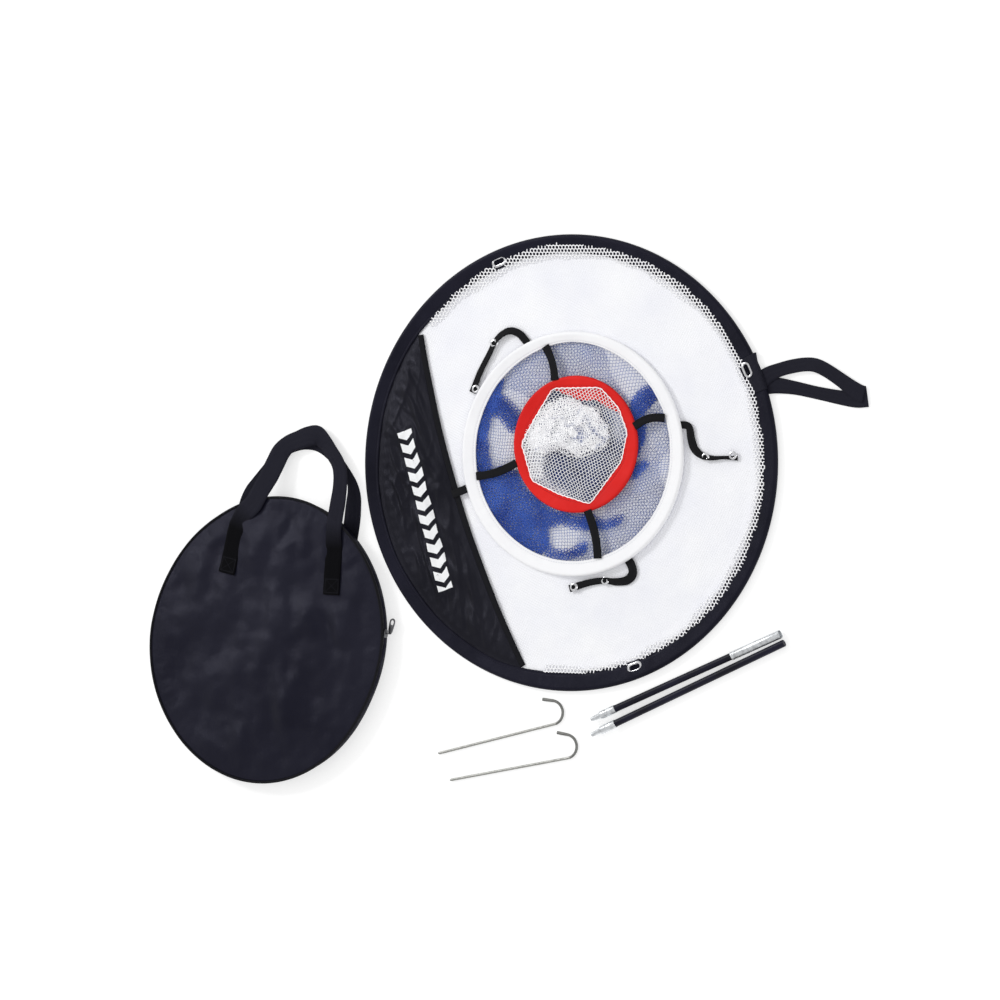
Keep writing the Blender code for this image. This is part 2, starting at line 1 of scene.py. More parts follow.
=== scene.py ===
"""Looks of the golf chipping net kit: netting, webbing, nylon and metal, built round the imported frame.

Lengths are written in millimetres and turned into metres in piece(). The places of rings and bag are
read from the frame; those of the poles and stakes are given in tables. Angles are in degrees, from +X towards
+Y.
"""

import bmesh
import bpy
import numpy as np
from mathutils import Matrix, Vector
from mathutils import noise as mnoise


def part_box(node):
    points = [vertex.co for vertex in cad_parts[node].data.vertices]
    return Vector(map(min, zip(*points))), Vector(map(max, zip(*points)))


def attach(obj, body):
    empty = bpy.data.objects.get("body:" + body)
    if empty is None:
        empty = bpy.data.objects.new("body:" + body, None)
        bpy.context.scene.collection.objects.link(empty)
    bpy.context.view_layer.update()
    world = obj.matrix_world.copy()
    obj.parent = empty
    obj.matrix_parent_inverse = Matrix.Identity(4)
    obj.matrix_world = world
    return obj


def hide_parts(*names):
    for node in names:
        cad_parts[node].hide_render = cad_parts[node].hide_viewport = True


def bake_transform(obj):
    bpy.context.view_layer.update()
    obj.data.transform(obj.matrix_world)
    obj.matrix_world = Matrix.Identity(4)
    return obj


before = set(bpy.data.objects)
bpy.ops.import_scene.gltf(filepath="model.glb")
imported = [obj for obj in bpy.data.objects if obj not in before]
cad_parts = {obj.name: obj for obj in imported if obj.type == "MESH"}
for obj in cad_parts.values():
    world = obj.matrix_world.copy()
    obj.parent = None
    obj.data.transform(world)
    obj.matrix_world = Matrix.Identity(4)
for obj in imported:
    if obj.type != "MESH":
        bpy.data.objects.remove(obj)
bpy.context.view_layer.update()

MM = 0.001

# ---------------------------------------------------------------- camera, floor and light
CAM_TARGET = Vector((0.0111, -0.0936, 0.0))
CAM_DISTANCE = 6.12
CAM_RIGHT = Vector((0.2921, 0.8484, -0.4415))
CAM_UP = Vector((-0.9455, 0.3256, 0.0))
CAM_BACK = Vector((0.1437, 0.4174, 0.8973))
LENS = 200.0
SENSOR = 36.0


def make_camera():
    cam = bpy.data.cameras.new("camera")
    cam.lens, cam.sensor_width = LENS, SENSOR
    cam.clip_end = 50
    obj = bpy.data.objects.new("camera", cam)
    turn = Matrix((CAM_RIGHT, CAM_UP, CAM_BACK)).transposed().to_4x4()
    obj.matrix_world = Matrix.Translation(CAM_TARGET + CAM_BACK * CAM_DISTANCE) @ turn
    bpy.context.scene.collection.objects.link(obj)
    bpy.context.scene.camera = obj


def area_light(name, place, size, power, target=(0, -0.1, 0)):
    lamp = bpy.data.lights.new(name, "AREA")
    lamp.shape, lamp.size, lamp.energy = "DISK", size, power
    obj = bpy.data.objects.new(name, lamp)
    obj.location = place
    obj.rotation_euler = (Vector(target) - Vector(place)).to_track_quat("-Z", "Y").to_euler()
    bpy.context.scene.collection.objects.link(obj)


def make_studio():
    scene = bpy.context.scene
    scene.view_settings.view_transform = "Standard"
    world = bpy.data.worlds.new("studio")
    scene.world = world
    world.use_nodes = True
    sky = world.node_tree.nodes["Background"]
    sky.inputs["Color"].default_value = (1.0, 1.0, 1.0, 1.0)
    sky.inputs["Strength"].default_value = 0.70
    mesh = bpy.data.meshes.new("floor")
    half = 6.0
    drop = -0.0004
    corners = [(x * half, y * half, drop) for x, y in ((-1, -1), (1, -1), (1, 1), (-1, 1))]
    mesh.from_pydata(corners, [], [(0, 1, 2, 3)])
    floor = bpy.data.objects.new("floor", mesh)
    scene.collection.objects.link(floor)
    paper = plain("floor_paper", (0.62, 0.62, 0.62), 0.95, Emission_Color=(1.0, 1.0, 1.0, 1.0),
                  Emission_Strength=0.52)
    mesh.materials.append(paper)
    area_light("key", (-1.9, -1.5, 1.9), 0.9, 36)
    area_light("fill", (1.2, 1.9, 2.6), 1.8, 18)


# ---------------------------------------------------------------- materials
def plain(name, colour, roughness, metallic=0.0, **extra):
    mat = bpy.data.materials.new(name)
    mat.use_nodes = True
    shader = mat.node_tree.nodes["Principled BSDF"]
    shader.inputs["Base Color"].default_value = (*colour, 1.0)
    shader.inputs["Roughness"].default_value = roughness
    shader.inputs["Metallic"].default_value = metallic
    for key, value in extra.items():
        shader.inputs[key.replace("_", " ")].default_value = value
    mat.diffuse_color = (*colour, 1.0)
    return mat


class Graph:
    """Short words for building a material's nodes."""

    def __init__(self, mat):
        self.tree = mat.node_tree
        self.shader = self.tree.nodes["Principled BSDF"]

    def node(self, kind, settings=None, **inputs):
        n = self.tree.nodes.new(kind)
        for key, value in (settings or {}).items():
            setattr(n, key, value)
        for key, value in inputs.items():
            self.feed(n.inputs[int(key[1:])] if key[0] == "i" and key[1:].isdigit() else n.inputs[key], value)
        return n

    def feed(self, socket, value):
        if isinstance(value, bpy.types.NodeSocket):
            self.tree.links.new(value, socket)
        else:
            socket.default_value = value

    def math(self, op, a, b=0.0):
        return self.node("ShaderNodeMath", {"operation": op}, i0=a, i1=b).outputs[0]

    def mul(self, a, b):
        return self.math("MULTIPLY", a, b)

    def add(self, a, b):
        return self.math("ADD", a, b)

    def sub(self, a, b):
        return self.math("SUBTRACT", a, b)

    def size(self, a):
        return self.math("ABSOLUTE", a)

    def below(self, a, b):
        return self.math("LESS_THAN", a, b)

    def get(self, name):
        return self.shader.inputs[name].links[0].from_socket

    def put(self, name, value):
        self.feed(self.shader.inputs[name], value)

    def uv(self):
        split = self.node("ShaderNodeSeparateXYZ", i0=self.node("ShaderNodeUVMap").outputs[0])
        return split.outputs[0], split.outputs[1]

    def place(self):
        return self.node("ShaderNodeTexCoord").outputs["Object"]

    def noise(self, scale, detail=3.0, roughness=0.5):
        n = self.node("ShaderNodeTexNoise", Scale=scale, Detail=detail, Roughness=roughness)
        self.feed(n.inputs["Vector"], self.place())
        return n.outputs[0]

    def ramp(self, value, low, high, out_low=0.0, out_high=1.0):
        return self.node("ShaderNodeMapRange", None, i0=value, i1=low, i2=high, i3=out_low,
                         i4=out_high).outputs[0]

    def mix(self, share, a, b):
        n = self.node("ShaderNodeMix", {"data_type": "RGBA"})
        self.feed(n.inputs[0], share)
        self.feed(n.inputs[6], a if isinstance(a, bpy.types.NodeSocket) else (*a, 1.0))
        self.feed(n.inputs[7], b if isinstance(b, bpy.types.NodeSocket) else (*b, 1.0))
        return n.outputs[2]

    def bump(self, height, distance, strength=1.0, under=None):
        n = self.node("ShaderNodeBump", Height=height, Distance=distance, Strength=strength)
        if under is not None:
            self.feed(n.inputs["Normal"], under)
        return n.outputs[0]

    def weave(self, pitch_mm):
        """A plain weave: raised threads that pass over and under, from a UV map in metres."""
        u, v = self.uv()
        k = 2 * np.pi / (pitch_mm * MM)
        a = self.math("SINE", self.mul(u, k))
        b = self.math("SINE", self.mul(v, k))
        return self.mul(a, b)


def cloth_material(name, dark, light, roughness, weave_mm, weave_depth=0.00006, cloud=9.0,
                   soft_bump=0.0006, shine=0.35):
    """Woven cloth with a fine weave, cloudy colour and slight unevenness. The cloud is partly random tone and
    partly painted sheen: on the black nylons its lighter patches stand in for broad soft highlights.
    """
    mat = plain(name, dark, roughness, Specular_IOR_Level=shine, Specular_Tint=(0.78, 0.78, 1.0, 1.0))
    g = Graph(mat)
    # Colour clouded between dark and light: random tone, and on the black nylons painted sheen in broad
    # patches.
    tone_and_sheen_cloud = g.noise(cloud, 4.0, 0.55)
    g.put("Base Color", g.mix(g.ramp(tone_and_sheen_cloud, 0.35, 0.68), dark, light))
    g.put("Roughness", g.ramp(g.noise(60.0, 2.0), 0.3, 0.7, roughness - 0.07, roughness + 0.08))
    uneven = g.bump(g.noise(55.0, 3.0, 0.5), soft_bump)
    g.put("Normal", g.bump(g.weave(weave_mm), weave_depth, 0.6, uneven))
    return mat


def sleeve_material(name, dark, light, roughness, stitch_at, thread, shine=0.35):
    """Sleeve cloth with a line of stitches: u runs round the ring and v across the band, in metres."""
    mat = cloth_material(name, dark, light, roughness, 0.9, shine=shine)
    g = Graph(mat)
    u, v = g.uv()
    across = g.size(g.sub(v, stitch_at * MM))
    dash = g.below(g.math("FRACT", g.mul(u, 1 / (3.4 * MM))), 0.72)
    line = g.mul(g.below(across, 0.42 * MM), dash)
    old_colour = g.get("Base Color")
    g.put("Base Color", g.mix(line, old_colour, thread))
    groove = g.ramp(across, 0.0, 1.6 * MM, 0.0, 1.0)
    old_normal = g.get("Normal")
    g.put("Normal", g.bump(groove, 0.0005, 0.7, old_normal))
    return mat


def webbing_material(name, dark, light, rib_mm=1.5):
    """Twill webbing: slanted ribs across, their slant turning back every 3 mm across the width."""
    mat = plain(name, dark, 0.72, Specular_IOR_Level=0.16)
    g = Graph(mat)
    u, v = g.uv()
    k = 2 * np.pi / (rib_mm * MM)
    folded = g.math("PINGPONG", u, 3.0 * MM)
    rib = g.math("SINE", g.mul(g.add(folded, v), k))
    # The colour follows the ribs' height: painted highlight on their crests and painted shade in their
    # grooves.
    share = g.ramp(rib, -1.0, 1.0)
    g.put("Base Color", g.mix(share, dark, light))
    g.put("Normal", g.bump(rib, 0.00016, 0.8))
    return mat


def strand_material(name, dark, light, roughness=0.5, shine=0.4, painted_glow=0.0):
    """Cord; painted_glow is a painted glow, an even emission that stands for the light shining through thin
    white threads.
    """
    # The emission here is a painted glow: it brightens the cord, which gives off no light of its own.
    mat = plain(name, light, roughness, Specular_IOR_Level=shine, Emission_Color=(0.95, 0.95, 1.0, 1.0),
                Emission_Strength=painted_glow)
    g = Graph(mat)
    g.put("Base Color", g.mix(g.ramp(g.noise(38.0, 3.0), 0.35, 0.65), dark, light))
    g.put("Normal", g.bump(g.noise(2600.0, 1.0), 0.0001, 0.4))
    return mat


def metal_material(name, colour, roughness, scratch=180.0, grain=0.00002, dull=0.14):
    mat = plain(name, colour, roughness, 1.0)
    g = Graph(mat)
    worn = g.noise(scratch, 4.0, 0.65)
    g.put("Roughness", g.ramp(worn, 0.3, 0.72, roughness - 0.06, roughness + dull))
    shade = tuple(0.72 * c for c in colour)
    g.put("Base Color", g.mix(g.ramp(g.noise(scratch * 2.3, 2.0), 0.42, 0.66), colour, shade))
    g.put("Normal", g.bump(g.noise(scratch * 9, 2.0), grain, 0.5))
    return mat


def panel_material(name, dark, light, paint, row_y, row_slope, row_x, row_half_h):
    """Front panel nylon with a printed row of plain chevrons instead of any wording."""
    mat = cloth_material(name, dark, light, 0.36, 0.8, soft_bump=0.0006, shine=0.20)
    g = Graph(mat)
    x, y = g.uv()
    mid = g.add(g.mul(x, row_slope), row_y * MM)
    v = g.sub(y, mid)
    in_row = g.below(g.size(v), row_half_h * MM)
    after = g.math("GREATER_THAN", x, row_x[0] * MM)
    before = g.below(x, row_x[1] * MM)
    slant = g.add(x, g.mul(g.size(v), 0.62))
    bar = g.below(g.math("FRACT", g.mul(slant, 1 / (16.4 * MM))), 0.62)
    mask = g.mul(g.mul(in_row, bar), g.mul(after, before))
    worn = g.mul(mask, g.ramp(g.noise(420.0, 3.0), 0.2, 0.34))
    old = g.get("Base Color")
    g.put("Base Color", g.mix(worn, old, paint))
    return mat


def leg_material():
    """Webbing with a stitched box near its sewn end; v runs from that end in metres."""
    mat = webbing_material("sewn_webbing", (0.005, 0.005, 0.010), (0.014, 0.014, 0.026))
    g = Graph(mat)
    u, v = g.uv()
    du = g.size(g.sub(u, 11.5 * MM))
    dv = g.size(g.sub(v, 10.0 * MM))
    edge = g.math("MAXIMUM", g.sub(du, 9.0 * MM), g.sub(dv, 7.5 * MM))
    line = g.below(g.size(edge), 0.45 * MM)
    cross = g.below(g.size(g.sub(du, g.mul(dv, 1.2))), 0.45 * MM)
    cross = g.mul(cross, g.below(edge, 0.0))
    line = g.math("MAXIMUM", line, cross)
    near = g.ramp(v, 52 * MM, 80 * MM, 1.0, 0.0)
    g.put("Specular IOR Level", g.ramp(near, 0.0, 1.0, 0.16, 0.05))
    old = g.get("Base Color")
    g.put("Base Color", g.mix(line, g.mix(near, old, (0.0025, 0.0025, 0.0035)), (0.009, 0.009, 0.012)))
    under = g.get("Normal")
    g.put("Normal", g.bump(g.sub(1.0, line), 0.0003, 0.7, under))
    return mat


def heap_material():
    """White netting crumpled so tightly that its holes are dark specks of painted shade. Its creases get
    painted blue-grey shade, and the whole gets a faint painted glow.
    """
    # The faint emission is a painted glow.
    mat = plain("crumpled_netting", (0.96, 0.96, 0.97), 0.7, Emission_Color=(0.96, 0.96, 1.0, 1.0),
                Emission_Strength=0.05)
    g = Graph(mat)
    u, v = g.uv()
    bend_u = g.mul(g.sub(g.noise(90.0, 2.0), 0.5), 0.016)
    bend_v = g.mul(g.sub(g.noise(75.0, 2.0), 0.5), 0.016)
    k = np.pi / (2.7 * MM)
    a = g.math("COSINE", g.mul(g.add(g.add(u, v), bend_u), k))
    b = g.math("COSINE", g.mul(g.add(g.sub(u, v), bend_v), k))
    # Dark specks where the holes are: painted shade inside the crumpled net.
    spot = g.ramp(g.mul(a, b), 0.18, 0.50)
    some = g.ramp(g.noise(70.0, 2.0), 0.36, 0.52)
    hole = g.mul(spot, some)
    # Thin blue-grey lines along noise ridges: painted shade in the creases.
    ridge = g.size(g.sub(g.noise(34.0, 2.0), 0.5))
    fold = g.mul(g.ramp(ridge, 0.0, 0.045, 1.0, 0.0), g.ramp(g.noise(26.0, 1.0), 0.42, 0.52))
    # White, with the painted crease shade and then the painted shade of the holes mixed in.
    g.put("Base Color", g.mix(hole, g.mix(fold, (0.96, 0.96, 0.97), (0.20, 0.23, 0.38)), (0.08, 0.09, 0.15)))
    g.put("Normal", g.bump(g.mul(a, b), 0.0002, 0.5))
    return mat


# ---------------------------------------------------------------- mesh helpers
def piece(name, verts, quads=(), tris=(), mat=None, body="hoop", replaces=(), uv=None, smooth=True, ngons=()):
    """A mesh piece from millimetre arrays, riding on a body. uv is one (u, v) in metres per vertex."""
    verts = np.asarray(verts, float) * MM
    faces = [list(map(int, f)) for f in quads] + [list(map(int, f)) for f in tris] + [list(f) for f in ngons]
    mesh = bpy.data.meshes.new(name)
    mesh.from_pydata(verts.tolist(), [], faces)
    mesh.validate()
    if len(faces) < 60000:
        outward = bmesh.new()
        outward.from_mesh(mesh)
        bmesh.ops.recalc_face_normals(outward, faces=outward.faces)
        outward.to_mesh(mesh)
        outward.free()
    if uv is not None:
        layer = mesh.uv_layers.new(name="UVMap")
        index = np.empty(len(mesh.loops), int)
        mesh.loops.foreach_get("vertex_index", index)
        layer.data.foreach_set("uv", np.asarray(uv, float)[index].astype(np.float32).ravel())
    obj = bpy.data.objects.new(name, mesh)
    bpy.context.scene.collection.objects.link(obj)
    if mat:
        mesh.materials.append(mat)
    if smooth:
        mesh.shade_smooth()
    if body:
        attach(obj, body)
    if replaces:
        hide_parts(*replaces)
    return obj


def lumps(x, y, size, seed=0.0):
    """Smooth random values of about -1 to 1 at points in millimetres."""
    x, y = np.broadcast_arrays(np.asarray(x, float), np.asarray(y, float))
    out = np.empty(x.size)
    for i, (a, b) in enumerate(zip(x.ravel() / size, y.ravel() / size)):
        out[i] = mnoise.noise((a + seed, b - seed, 0.37 * seed))
    return out.reshape(x.shape) * 1.6


def smooth_curve(points, count, closed=False):
    """Points evenly spaced along a Catmull-Rom curve; columns past the third (roll, width) follow too."""
    p = np.asarray(points, float)
    n = len(p)
    if closed:
        ext = np.vstack([p[-1], p, p[0], p[1]])
        spans = n
    else:
        ext = np.vstack([2 * p[0] - p[1], p, 2 * p[-1] - p[-2]])
        spans = n - 1
    fine = []
    t = np.linspace(0, 1, 24, endpoint=False)[:, None]
    for i in range(spans):
        a, b, c, d = ext[i:i + 4]
        square, cube = 2 * a - 5 * b + 4 * c - d, 3 * b - a - 3 * c + d
        fine.append(0.5 * (2 * b + (c - a) * t + square * t ** 2 + cube * t ** 3))
    fine = np.vstack(fine + [ext[spans + 1][None]])
    dist = np.concatenate([[0], np.cumsum(np.linalg.norm(np.diff(fine[:, :3], axis=0), axis=1))])
    at = np.linspace(0, dist[-1], count, endpoint=not closed)
    return np.stack([np.interp(at, dist, fine[:, k]) for k in range(p.shape[1])], axis=1), dist[-1]


def grid_faces(rows, cols, wrap_rows=False, wrap_cols=False):
    """Quads over a rows x cols grid of vertices."""
    r = np.arange(rows if wrap_rows else rows - 1)
    c = np.arange(cols if wrap_cols else cols - 1)
    rr, cc = np.meshgrid(r, c, indexing="ij")
    nr, nc = (rr + 1) % rows, (cc + 1) % cols
    return np.stack([rr * cols + cc, nr * cols + cc, nr * cols + nc, rr * cols + nc], -1).reshape(-1, 4)


def disc_shell(name, x, y, top, under, mat, body, replaces=(), uv=None):
    """A thin sheet over a grid of rings and sectors, closed at its rim and in its middle."""
    rings, sectors = x.shape
    n = rings * sectors
    verts = np.vstack([np.stack([x, y, z], -1).reshape(-1, 3) for z in (top, under)])
    faces = grid_faces(rings, sectors, wrap_cols=True)
    last = n - sectors + np.arange(sectors)
    after = np.roll(last, -1)
    rim = np.stack([last, after, after + n, last + n], 1)
    flat = verts[:, :2] if uv is None else np.tile(uv.reshape(-1, 2), (2, 1))
    return piece(name, verts, np.vstack([faces, faces[:, ::-1] + n, rim]), mat=mat, body=body,
                 replaces=replaces, uv=flat * MM,
                 ngons=[list(range(sectors)), list(range(n, n + sectors))[::-1]])


def patch_shell(name, x, y, top, under, mat, body, replaces=()):
    """A thin sheet over a grid of rows and columns, closed all round."""
    rows, cols = x.shape
    n = rows * cols
    verts = np.vstack([np.stack([x, y, z], -1).reshape(-1, 3) for z in (top, under)])
    faces = grid_faces(rows, cols)
    rim = list(range(cols)) + [k * cols + cols - 1 for k in range(1, rows)]
    rim += [n - 1 - k for k in range(1, cols)] + [k * cols for k in range(rows - 2, 0, -1)]
    side = [[a, b, b + n, a + n] for a, b in zip(rim, rim[1:] + rim[:1])]
    return piece(name, verts, np.vstack([faces[:, ::-1], faces + n, side]), mat=mat, body=body,
                 replaces=replaces, uv=verts[:, :2] * MM)


def ribbon(name, points, width, thickness, mat, body, replaces=(), steps=90, edge_wave=0.0, mirrored=False):
    """Webbing along 3-D points; a fourth column is its roll in degrees, a fifth scales its width.

    Its v runs from the start in metres, or from the nearer end when mirrored.
    """
    p = np.asarray(points, float)
    if p.shape[1] == 3:
        p = np.hstack([p, np.zeros((len(p), 1))])
    if p.shape[1] == 4:
        p = np.hstack([p, np.ones((len(p), 1))])
    path, length = smooth_curve(p, steps)
    along = np.gradient(path[:, :3], axis=0)
    along /= np.linalg.norm(along, axis=1)[:, None]
    side = np.cross(np.array([0, 0, 1.0]), along)
    side /= np.linalg.norm(side, axis=1)[:, None]
    up = np.cross(along, side)
    roll = np.radians(path[:, 3])[:, None]
    s = side * np.cos(roll) + up * np.sin(roll)
    n = up * np.cos(roll) - side * np.sin(roll)
    across = 9
    x = np.linspace(-0.5, 0.5, across)
    crown = 1 - 0.55 * (2 * np.abs(x)) ** 6
    section = [(a, 0.5 * c) for a, c in zip(x, crown)] + [(a, -0.5 * c) for a, c in zip(x[::-1], crown[::-1])]
    at = np.arange(steps) / (steps - 1) * length
    wave = 1 + edge_wave * np.array([mnoise.noise((a / 9.0, 3.1, 0)) for a in at])
    half = width * path[:, 4] * wave
    rings = [path[:, :3] + s * (a * half)[:, None] + n * (b * thickness) for a, b in section]
    verts = np.stack(rings, 1).reshape(-1, 3)
    m = len(section)
    if mirrored:
        at = np.minimum(at, length - at)
    uv = np.array([[(a + 0.5) * width * MM, t * MM] for t in at for a, _ in section])
    ends = [list(range(m))[::-1], list(range((steps - 1) * m, steps * m))]
    faces = grid_faces(steps, m, wrap_cols=True)
    return piece(name, verts, faces[:, ::-1], mat=mat, body=body, replaces=replaces, uv=uv, ngons=ends)


def tube(name, points, radius, mat, body, replaces=(), sides=14, steps=120, closed=False, profile=None):
    """A round wire or rod. profile(t) scales the radius along it, with t from 0 to 1."""
    path, length = smooth_curve(points, steps, closed)
    p = path[:, :3]
    along = np.gradient(p, axis=0)
    if closed:
        along = np.roll(p, -1, 0) - np.roll(p, 1, 0)
    along /= np.linalg.norm(along, axis=1)[:, None]
    side = np.cross(np.array([0, 0, 1.0]), along)
    side /= np.maximum(np.linalg.norm(side, axis=1), 1e-9)[:, None]
    up = np.cross(along, side)
    turn = np.arange(sides) * 2 * np.pi / sides
    t = np.arange(steps) / (steps - 1)
    r = radius * (np.ones(steps) if profile is None else np.array([profile(v) for v in t]))
    rings = p[:, None] + r[:, None, None] * (np.cos(turn)[None, :, None] * side[:, None]
                                             + np.sin(turn)[None, :, None] * up[:, None])
    faces = grid_faces(steps, sides, wrap_rows=closed, wrap_cols=True)
    ends = [] if closed else [list(range(sides)), list(range((steps - 1) * sides, steps * sides))[::-1]]
    uv = np.array([[k / sides * 2 * np.pi * radius * MM, v * length * MM] for v in t for k in range(sides)])
    return piece(name, rings.reshape(-1, 3), faces[:, ::-1], mat=mat, body=body, replaces=replaces, uv=uv,
                 ngons=[e[::-1] for e in ends])


def turned(name, profile, start, heading, mat, body, replaces=(), steps=40, lift=0.0):
    """A solid turned about a level line: profile points are (distance along it, radius)."""
    profile = np.asarray(profile, float)
    ax = np.array([np.cos(heading), np.sin(heading), 0])
    side = np.array([-ax[1], ax[0], 0])
    turn = np.arange(steps) * 2 * np.pi / steps
    ring = np.cos(turn)[:, None] * side + np.sin(turn)[:, None] * np.array([0, 0, 1.0])
    base = np.array([start[0], start[1], lift])
    verts = base + profile[:, 0, None, None] * ax + profile[:, 1, None, None] * ring[None]
    faces = grid_faces(len(profile), steps, wrap_rows=True, wrap_cols=True)
    obj = piece(name, verts.reshape(-1, 3), faces, mat=mat, body=body, replaces=replaces)
    obj.data.set_sharp_from_angle(angle=np.radians(32))
    return obj


# ---------------------------------------------------------------- netting
def net_strands(name, inside, height, pitch, angle, strand, mat, body, reach, centre=(0, 0), warp=None,
                squeeze=1.0, shift=(0.0, 0.0), row=0.62, stem=0.17):
    """Knitted mesh: a lattice of fine strands inside an outline, laid over a height.

    row is the distance between its rows and stem the length of its upright threads, both as a
    share of the pitch: 0.87 and 0.58 make a honeycomb, and less of both makes diamonds.
    """
    n = int(reach / pitch) + 4
    i, j = np.meshgrid(np.arange(-n, n + 1), np.arange(-int(n / row), int(n / row) + 1), indexing="ij")
    i, j = i.ravel(), j.ravel()
    i = i - j // 2
    ax = i * pitch + j * pitch / 2
    ay = j * pitch * row
    start = np.stack([ax, ay], 1)
    b0 = start + [0, stem * pitch]
    b1 = start + [-pitch / 2, (stem - row) * pitch]
    b2 = start + [pitch / 2, (stem - row) * pitch]
    a = np.vstack([start] * 3)
    b = np.vstack([b0, b1, b2])
    t = np.radians(angle)
    turn = np.array([[np.cos(t), -np.sin(t)], [np.sin(t), np.cos(t)]])
    a = (a * [1, squeeze] + shift) @ turn.T + centre
    b = (b * [1, squeeze] + shift) @ turn.T + centre
    if warp is not None:
        both = np.vstack([a, b])
        dx, dy = warp(both[:, 0], both[:, 1])
        both = both + np.stack([dx, dy], 1)
        a, b = both[:len(a)], both[len(a):]
    keep = inside(*((a + b) / 2).T)
    a, b = a[keep], b[keep]
    za, zb = height(a[:, 0], a[:, 1]), height(b[:, 0], b[:, 1])
    p, q = np.column_stack([a, za]), np.column_stack([b, zb])
    d = q - p
    length = np.linalg.norm(d, axis=1)[:, None]
    d /= np.maximum(length, 1e-6)
    p, q = p - d * strand * 0.25, q + d * strand * 0.25
    s = np.column_stack([-d[:, 1], d[:, 0], np.zeros(len(d))])
    s /= np.maximum(np.linalg.norm(s, axis=1), 1e-6)[:, None]
    up = np.cross(d, s)
    corners = [(-0.5, -0.12), (0.5, -0.12), (0.0, 0.20)]
    ring = [end + s * (u * strand) + up * (v * strand) for end in (p, q) for u, v in corners]
    verts = np.stack(ring, 1).reshape(-1, 3)
    k = np.arange(len(p))[:, None] * 6
    quads = np.vstack([k + f for f in ([0, 1, 4, 3], [1, 2, 5, 4], [2, 0, 3, 5])])
    tris = np.vstack([k + [2, 1, 0], k + [3, 4, 5]])
    return piece(name, verts, quads, tris, mat=mat, body=body)


def joined(name, parts):
    """Several net layers as one piece; the first gives the material and the body."""
    both = bmesh.new()
    for part in parts:
        both.from_mesh(part.data)
    both.to_mesh(parts[0].data)
    both.free()
    for part in parts[1:]:
        bpy.data.objects.remove(part)
    parts[0].name = name
    return parts[0]


# ---------------------------------------------------------------- measures from the frame
def mm_box(node):
    low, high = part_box(node)
    return np.array(low) / MM, np.array(high) / MM


def middle_of(node):
    low, high = mm_box(node)
    return (low[0] + high[0]) / 2, (low[1] + high[1]) / 2


def ring_of(node):
    """(centre x, centre y, outer radius, bottom) of a round CAD node, in millimetres."""
    low, high = mm_box(node)
    return *middle_of(node), (high[0] - low[0]) / 2, low[2]


HX, HY, HOOP_R, HOOP_LOW = ring_of("hoop_sleeve")
MX, MY, MID_R, MID_LOW = ring_of("middle_ring_sleeve")
IX, IY, IN_R, IN_LOW = ring_of("inner_ring_sleeve")


# ---------------------------------------------------------------- the materials used
M = {
    "nylon": cloth_material("black_nylon", (0.0022, 0.0022, 0.0058), (0.0068, 0.0066, 0.0150), 0.50, 0.8,
                            shine=0.105),
    "hoop": sleeve_material("hoop_nylon", (0.0028, 0.0028, 0.0068), (0.0090, 0.0088, 0.0175), 0.48, 3.0,
                            (0.010, 0.010, 0.016), shine=0.15),
    "panel": panel_material("panel_nylon", (0.0025, 0.0025, 0.0045), (0.0075, 0.0075, 0.0110),
                            (0.86, 0.87, 0.88), -181.9, -0.048, (-99.0, 84.0), 9.0),
    "binding": webbing_material("binding_tape", (0.003, 0.003, 0.005), (0.008, 0.008, 0.011), 1.1),
    "webbing": webbing_material("black_webbing", (0.005, 0.005, 0.010), (0.016, 0.016, 0.028)),
    "strap": webbing_material("strap_webbing", (0.003, 0.003, 0.004), (0.009, 0.009, 0.011), 1.2),
    "white_net": cloth_material("white_netting", (0.87, 0.875, 0.92), (0.93, 0.932, 0.95), 0.75, 3.8, 0.0003,
                                14.0),
    "white_strand": strand_material("white_cord", (0.92, 0.922, 0.94), (0.97, 0.97, 0.975), 0.6, painted_glow=0.12),
    "white_sleeve": sleeve_material("white_sleeve_cloth", (0.89, 0.893, 0.91), (0.94, 0.94, 0.95), 0.7, 2.6,
                                    (0.78, 0.79, 0.82)),
    "red_sleeve": sleeve_material("red_sleeve_cloth", (0.62, 0.010, 0.006), (0.74, 0.018, 0.011), 0.6, 2.4,
                                  (0.50, 0.010, 0.006), shine=0.2),
    "blue_strand": strand_material("blue_cord", (0.020, 0.055, 0.27), (0.050, 0.13, 0.48)),
    "blue_deep": strand_material("blue_cord_deep", (0.025, 0.070, 0.38), (0.060, 0.150, 0.60)),
    # A darker copy of the blue cord: painted shade for the net lying under the inner ring.
    "painted_shade_blue": strand_material("painted_shade_blue_cord", (0.010, 0.020, 0.10), (0.020, 0.045, 0.20)),
    "steel": metal_material("spring_steel", (0.45, 0.45, 0.47), 0.35),
    "nickel": metal_material("nickel_plate", (0.80, 0.80, 0.82), 0.22),
    "alloy": metal_material("aluminium", (0.74, 0.76, 0.78), 0.34, 90.0),
    "rod": strand_material("black_fibreglass", (0.004, 0.004, 0.010), (0.008, 0.008, 0.022), 0.42, 0.18),
    "wire": metal_material("galvanised_wire", (0.42, 0.42, 0.40), 0.42, 320.0, 0.00004, 0.2),
    "dark_wire": metal_material("worn_wire", (0.24, 0.24, 0.23), 0.5, 320.0, 0.00006, 0.2),
    "bag": cloth_material("bag_nylon", (0.0030, 0.0030, 0.0085), (0.0085, 0.0085, 0.0160), 0.36, 0.8,
                          soft_bump=0.0006, shine=0.20),
    "leg": leg_material(),
    "heap": heap_material(),
    "dark_metal": metal_material("black_metal", (0.16, 0.16, 0.17), 0.35),
    "teeth": strand_material("zip_teeth", (0.008, 0.008, 0.010), (0.016, 0.016, 0.020), 0.35, 0.3),
}


